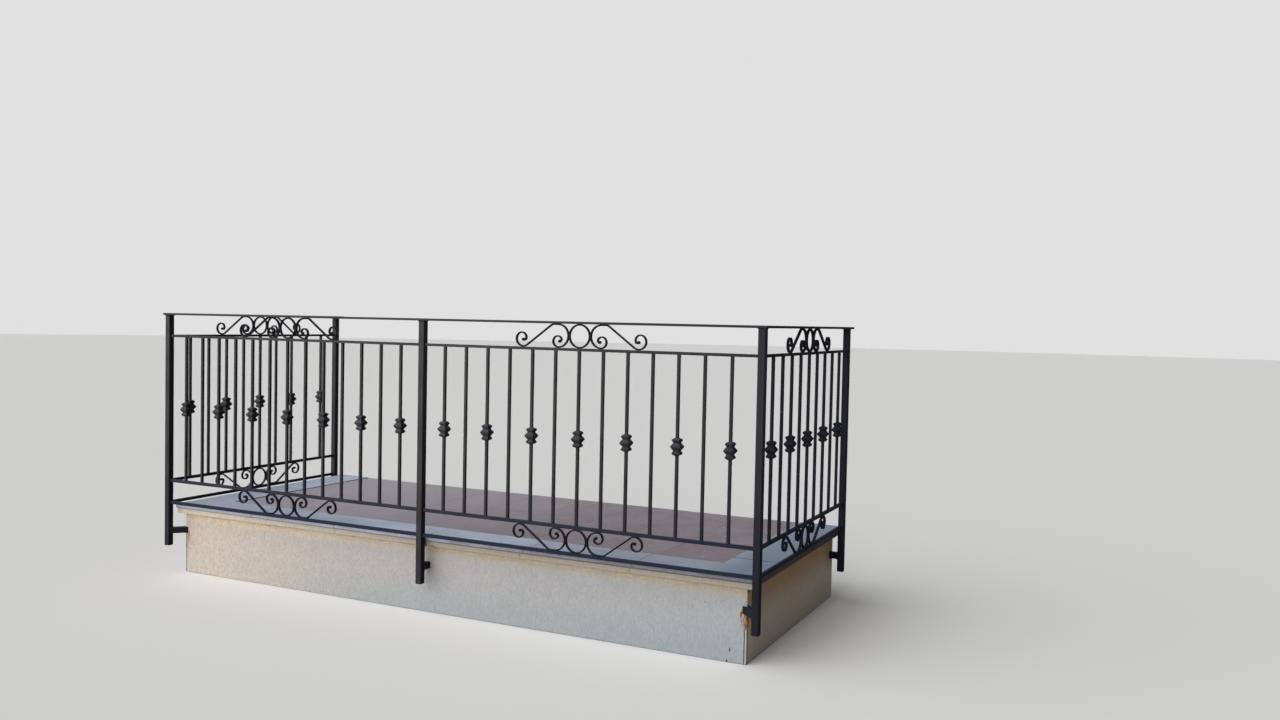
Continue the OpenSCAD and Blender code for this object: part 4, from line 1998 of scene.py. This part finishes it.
@dataclass
class Scrolls:
    """A ring with a scroll on either side, bent from flat bar, above and below the bars.

    Its lengths are in millimetres, but for the bead, and its angles in degrees.
    """

    layout: Layout
    half: float = 50.0
    thick: float = 6.0
    wide: float = 12.0
    arris: float = 0.9
    cuts: int = 2
    face_wear: float = 0.3
    flat: float = 24.0
    bend: float = 20.0
    slope: float = 36.0
    outer: float = 35.0
    outer_turn: float = 290.0
    outer_shrink: float = 0.68
    inner: float = 26.0
    inner_turn: float = 245.0
    inner_shrink: float = 0.78
    tip: float = 7.5
    tip_turn: float = 120.0
    quarter_steps: int = 20
    bend_steps: int = 10
    outer_steps: int = 64
    inner_steps: int = 56
    tip_steps: int = 16
    ring_steps: int = 96
    swell: float = 0.6
    swell_steps: int = 9
    eye: float = 6.6
    eye_sides: int = 20
    eye_wear: float = 0.4
    eye_profile: tuple[Span, ...] = (
        (-6.0, 1.5), (-5.6, 0.5), (-4.6, 0.0), (4.6, 0.0), (5.6, 0.5), (6.0, 1.5),
    )
    bead: float = 1.7 * MM
    bead_half: float = 4.6
    weld_up: float = 5.0
    weld_beside: float = 8.0
    weld_in: float = 0.8
    flat_weld: Span = (4.0, 0.4)
    smooth: float = 45.0
    finish: IronPaint = field(
        default_factory=lambda: IronPaint(
            "iron_scroll",
            paint=srgb(27, 26, 32),
            faded=srgb(42, 41, 47),
            # colour of the painted shade
            low=srgb(26, 27, 37),
            wear=0.26,
        )
    )

    @staticmethod
    def walk(x: float, heading: float, steps: Sequence[Span]) -> list[tuple[float, float, float]]:
        """Follows steps of turn and length.

        Args:
            x: Start on the motif's middle line.
            heading: Direction at the start.
            steps: Turn and length of each step.

        Returns:
            Points as x, y and heading.
        """
        y = 0.0
        path = [(x, y, heading)]
        for turn, length in steps:
            middle = math.radians(heading + turn / 2)
            x += length * math.cos(middle)
            y += length * math.sin(middle)
            heading += turn
            path.append((x, y, heading))
        return path

    @staticmethod
    def arc(radius: float, angle: float, cuts: int) -> list[Span]:
        """Steps of an arc."""
        chord = 2 * radius * math.sin(math.radians(abs(angle) / cuts / 2))
        return [(angle / cuts, chord)] * cuts

    @staticmethod
    def curl(radius: float, angle: float, shrink: float, cuts: int) -> list[Span]:
        """Steps of a spiral that tightens by the same share in each half turn.

        Args:
            radius: Radius at its start.
            angle: How far it turns.
            shrink: Radius after each half turn, as a share of the one before.
            cuts: Number of steps.

        Returns:
            Turn and length of each step.
        """
        turn = angle / cuts
        chord = 2 * radius * math.sin(math.radians(turn / 2))
        return [(turn, chord * shrink ** ((i + 0.5) * turn / 180)) for i in range(cuts)]

    def section(self) -> tuple[list[Span], list[float]]:
        """Returns the outline of the flat bar and its edge values."""
        outline = rounded_loop(self.thick / 2, self.wide / 2, self.arris, self.cuts)
        return outline, corner_marks(outline, self.cuts, self.face_wear)

    def ribbon(
        self, path: Sequence[tuple[float, float, float]], place: Matrix, shell: Shell, mirror: int
    ) -> None:
        """Adds the flat bar along a path, with a round eye at its end.

        Args:
            path: Points as x, y and heading.
            place: Matrix from the motif's own axes to the row frame.
            shell: The motif.
            mirror: -1 for its left side, 1 for its right one.
        """
        outline, edge = self.section()
        rings = []
        last = len(path) - 1
        for i, (x, y, heading) in enumerate(path):
            side = math.radians(heading + 90)
            across, up = math.cos(side), math.sin(side)
            swell = 1.0 + self.swell * max(0.0, 1 - (last - i) / self.swell_steps) ** 2
            ring = [(mirror * (x + a * swell * across), b, y + a * swell * up) for a, b in outline]
            rings.append([Vector(point) * MM for point in ring])
        shell.loft(rings, edge=edge, place=place)
        x, y, _ = path[-1]
        turns = [k * math.tau / self.eye_sides for k in range(self.eye_sides)]
        rings = []
        for b, inset in self.eye_profile:
            r = self.eye - inset
            ring = [(mirror * x + r * math.cos(turn), b, y + r * math.sin(turn)) for turn in turns]
            rings.append([Vector(point) * MM for point in ring])
        shell.loft(rings, edge=[self.eye_wear] * self.eye_sides, place=place)

    def motif(self, place: Matrix, shell: Shell, rng: random.Random) -> None:
        """Adds one ring with its two scrolls, upright, its middle at the origin.

        Args:
            place: Matrix from the motif's own axes to the row frame.
            shell: The motif.
            rng: Source of the beads' unevenness.
        """
        radius = self.half - self.thick / 2
        first = self.half + self.thick / 2
        slope = math.radians(self.slope)
        run = (2 * radius - (self.bend + self.outer) * (1 - math.cos(slope))) / math.sin(slope)
        tip = self.arc(self.tip, self.tip_turn, self.tip_steps)
        outward = (
            self.arc(radius, -90, self.quarter_steps)
            + [(0.0, self.flat)]
            + self.arc(self.bend, -self.slope, self.bend_steps)
            + [(0.0, run)]
            + self.arc(self.outer, self.slope, self.bend_steps)
            + self.curl(self.outer, self.outer_turn, self.outer_shrink, self.outer_steps)
        )
        inward = self.arc(radius, 90, self.quarter_steps) + self.curl(
            self.inner, self.inner_turn, self.inner_shrink, self.inner_steps
        )
        for mirror in (-1, 1):
            self.ribbon(self.walk(first, 90.0, outward + tip), place, shell, mirror)
            self.ribbon(self.walk(first, -90.0, inward + tip), place, shell, mirror)
        outline, edge = self.section()
        rings = []
        for k in range(self.ring_steps):
            turn = k * math.tau / self.ring_steps
            across, up = math.cos(turn), math.sin(turn)
            rings.append(
                [Vector(((radius + a) * across, b, (radius + a) * up)) * MM for a, b in outline]
            )
        shell.loft(rings, loop=True, edge=edge, place=place)
        self.welds(place, shell, rng, first + radius)

    def welds(self, place: Matrix, shell: Shell, rng: random.Random, flat_x: float) -> None:
        """Adds weld beads where ring, scrolls and rails touch.

        Args:
            place: Matrix from the motif's own axes to the row frame.
            shell: The motif.
            rng: Source of the beads' unevenness.
            flat_x: Where the outer scroll's flat run starts.
        """
        half = self.half * MM
        spots: list[Span] = []
        for side in (-1, 1):
            spots += [(side * half, z * self.weld_up * MM) for z in (1, -1)]
            spots += [(side * self.weld_beside * MM, z * (half - self.weld_in * MM)) for z in (-1, 1)]
            spots.append((side * (flat_x + self.flat_weld[0]) * MM, half - self.flat_weld[1] * MM))
        for x, z in spots:
            line = [Vector((x, a * self.bead_half * MM, z)) for a in (-1.0, 1.0)]
            shell.bead(line, self.bead, rng, place=place)

    def build(self) -> None:
        """Builds the upper and the lower motif of each bay."""
        lay = self.layout
        half = self.half * MM
        for bay in Bay:
            middle = lay.bay_length(bay) / 2
            for level, z, turn in (
                ("top", lay.hand_low - half, 0.0),
                ("low", lay.rail_low + lay.bar + half, math.pi),
            ):
                place = (
                    lay.bay_matrix(bay)
                    @ Matrix.Translation((middle, 0, z))
                    @ Matrix.Rotation(turn, 4, "X")
                )
                shell = Shell()
                self.motif(place, shell, random.Random(f"{bay.value} {level}"))
                name = f"scrolls_{level}_{bay.value}"
                material = self.finish.material()
                shell.build(name + "_bar", material, Slot.IRON, [name], self.smooth, weighted=False)


@dataclass
class Splashes:
    """Small dried splashes of plaster on rails and stones."""

    layout: Layout
    scattered: int = 16
    sides: int = 12
    summit: float = 0.28
    dome: tuple[Span, ...] = ((0.45, 0.24), (0.8, 0.13), (1.0, -0.05))
    squash: float = 0.75
    lobes: float = 0.22
    lobe_count: int = 3
    lobe_turn: float = 90.0
    jitter: float = 0.08
    end_margin: float = 0.1
    off_middle: float = 0.003
    small: Span = (0.0015, 0.003)
    smooth: float = 60.0
    seed: int = 61
    finish: Plaster = field(default_factory=Plaster)

    def spots(self) -> list[tuple[float, float, float, float]]:
        """Lists the splashes, those that show well in the photograph and scattered ones.

        Returns:
            Their x, y, z and radius.
        """
        lay = self.layout
        rng = random.Random(self.seed)
        top = lay.rail_lower + lay.bar
        low = lay.rail_low + lay.bar
        spots = [
            (0.342, lay.post_y - 0.002, low, 0.0045),
            (0.352, lay.post_y + 0.001, low, 0.003),
            (0.462, lay.post_y - 0.002, low, 0.005),
            (0.604, lay.post_y + 0.001, top, 0.0035),
            (0.625, lay.post_y - 0.002, top, 0.0055),
            (0.641, lay.post_y + 0.002, top, 0.0035),
            (1.165, lay.post_y - 0.001, top, 0.0055),
        ]
        for _ in range(self.scattered):
            x = rng.uniform(-lay.post_x + self.end_margin, lay.post_x - self.end_margin)
            level = rng.choice((top, low))
            y = lay.post_y + rng.uniform(-self.off_middle, self.off_middle)
            spots.append((x, y, level, rng.uniform(*self.small)))
        return spots

    def build(self) -> None:
        """Builds each splash as a low ragged dome."""
        rng = random.Random(self.seed + 1)
        shell = Shell()
        n, rings = self.sides, len(self.dome)
        for x, y, z, radius in self.spots():
            points = [Vector((x, y, z + radius * self.summit))]
            for ring, (share, lift) in enumerate(self.dome):
                for k in range(n):
                    wave = math.sin(self.lobe_count * k + x * self.lobe_turn)
                    lobe = self.lobes * wave * ring / (rings - 1)
                    ragged = share * radius * (1 + lobe + rng.uniform(-self.jitter, self.jitter))
                    across = ragged * math.cos(k * math.tau / n)
                    along = self.squash * ragged * math.sin(k * math.tau / n)
                    points.append(Vector((x + across, y + along, z + radius * lift)))
            base = tuple(reversed(range(1 + (rings - 1) * n, 1 + rings * n)))
            shell.add(points, [*disc_faces(rings, n), base])
        material = self.finish.material()
        shell.build("plaster_splashes", material, Slot.RENDER, smooth=self.smooth, weighted=False)


@dataclass
class Studio:
    """Plain pale floor, soft light and the camera at the photograph's viewing angle."""

    level: float
    eye: tuple[float, float, float] = (2.92607, -5.10979, 1.17956)
    right: tuple[float, float, float] = (0.89994506, 0.43551451, 0.02063977)
    up: tuple[float, float, float] = (-0.03420919, 0.02333866, 0.99914215)
    forward: tuple[float, float, float] = (-0.4346592, 0.89987911, -0.03590211)
    lens: float = 30.003
    sensor: float = 36.0
    pale: tuple[float, ...] = (0.86, 0.86, 0.86, 1.0)
    bounce: tuple[float, ...] = (0.45, 0.45, 0.45, 1.0)
    ambient: float = 0.06
    backdrop: float = 0.75
    key: float = 2.2
    key_side: tuple[float, float, float] = (-0.5, -0.75, 0.85)
    key_spread: float = 90.0
    low: float = 2.05
    low_side: tuple[float, float, float] = (-0.35, -0.93, 0.2)
    low_spread: float = 85.0
    tint: Color = (1.0, 0.995, 0.985)
    floor_reach: float = 60.0
    floor_rings: int = 12
    floor_spokes: int = 48

    def camera(self) -> None:
        """Sets up the camera."""
        data = bpy.data.cameras.new("photo_camera")
        data.lens, data.sensor_width = self.lens, self.sensor
        camera = bpy.data.objects.new("photo_camera", data)
        bpy.context.scene.collection.objects.link(camera)
        turn = Matrix((self.right, self.up, [-c for c in self.forward])).transposed()
        camera.matrix_world = Matrix.Translation(self.eye) @ turn.to_4x4()
        bpy.context.scene.camera = camera

    def floor(self) -> None:
        """Lays a wide pale floor at the slab's underside."""
        points = [Vector((0, 0, self.level))]
        for ring in range(1, self.floor_rings + 1):
            size = self.floor_reach * (ring / self.floor_rings) ** 2
            for k in range(self.floor_spokes):
                turn = k * math.tau / self.floor_spokes
                points.append(Vector((size * math.cos(turn), size * math.sin(turn), self.level)))
        faces = disc_faces(self.floor_rings, self.floor_spokes)
        mesh = bpy.data.meshes.new("studio_floor")
        mesh.from_pydata(points, [], faces)
        material = bpy.data.materials.new("studio_floor")
        material.use_nodes = True
        t = Tree(material.node_tree)
        color = t.mix(t.seen(), self.bounce, self.pale)
        diffuse = t.put("BsdfDiffuse", {"Color": color})
        out = t.put("OutputMaterial")
        material.node_tree.links.new(diffuse.outputs[0], out.inputs[0])
        mesh.materials.append(material)
        floor = bpy.data.objects.new("studio_floor", mesh)
        bpy.context.scene.collection.objects.link(floor)
        floor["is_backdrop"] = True

    def world(self) -> None:
        """Makes the pale surroundings, which light the object only softly."""
        world = bpy.data.worlds.new("studio")
        bpy.context.scene.world = world
        world.use_nodes = True
        t = Tree(world.node_tree)
        strength = t.plus(self.ambient, t.times(t.seen(), self.backdrop - self.ambient))
        back = t.put("Background", {"Color": (1.0, 1.0, 1.0, 1.0), "Strength": strength})
        out = t.put("OutputWorld")
        world.node_tree.links.new(back.outputs[0], out.inputs[0])

    def lamp(self, name: str, place: Sequence[float], spread: float, power: float) -> None:
        """Adds a distant soft lamp that lights the whole floor evenly.

        Args:
            name: Its name.
            place: The side that its light comes from.
            spread: Angle of its disc, in degrees.
            power: Strength of its light.
        """
        data = bpy.data.lights.new(name, "SUN")
        data.angle, data.energy, data.color = math.radians(spread), power, self.tint
        lamp = bpy.data.objects.new(name, data)
        bpy.context.scene.collection.objects.link(lamp)
        lamp.rotation_mode = "QUATERNION"
        lamp.rotation_quaternion = (-Vector(place)).to_track_quat("-Z", "Y")

    def build(self) -> None:
        """Sets up camera, floor, surroundings and lamps."""
        self.camera()
        self.floor()
        self.world()
        self.lamp("key", self.key_side, self.key_spread, self.key)
        self.lamp("low", self.low_side, self.low_spread, self.low)
        bpy.context.scene.view_settings.view_transform = "Standard"


def main() -> None:
    """Builds studio and balcony."""
    logging.basicConfig(level=logging.INFO, format="%(name)s: %(message)s")
    layout = Layout.from_nodes()
    Studio(level=CAD_BOX[0].z).build()
    parts = (
        RenderedSlab(),
        StoneBorder(),
        TiledFloor(),
        Posts(layout),
        Brackets(layout),
        Handrail(layout),
        Panels(layout),
        CastKnots(layout),
        Scrolls(layout),
        Splashes(layout),
    )
    for part in parts:
        part.build()
        LOG.info("%s built", type(part).__name__)
    boxes = [[list(corner) for corner in box] for box in (CAD_BOX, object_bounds())]


if __name__ == "__main__":
    main()
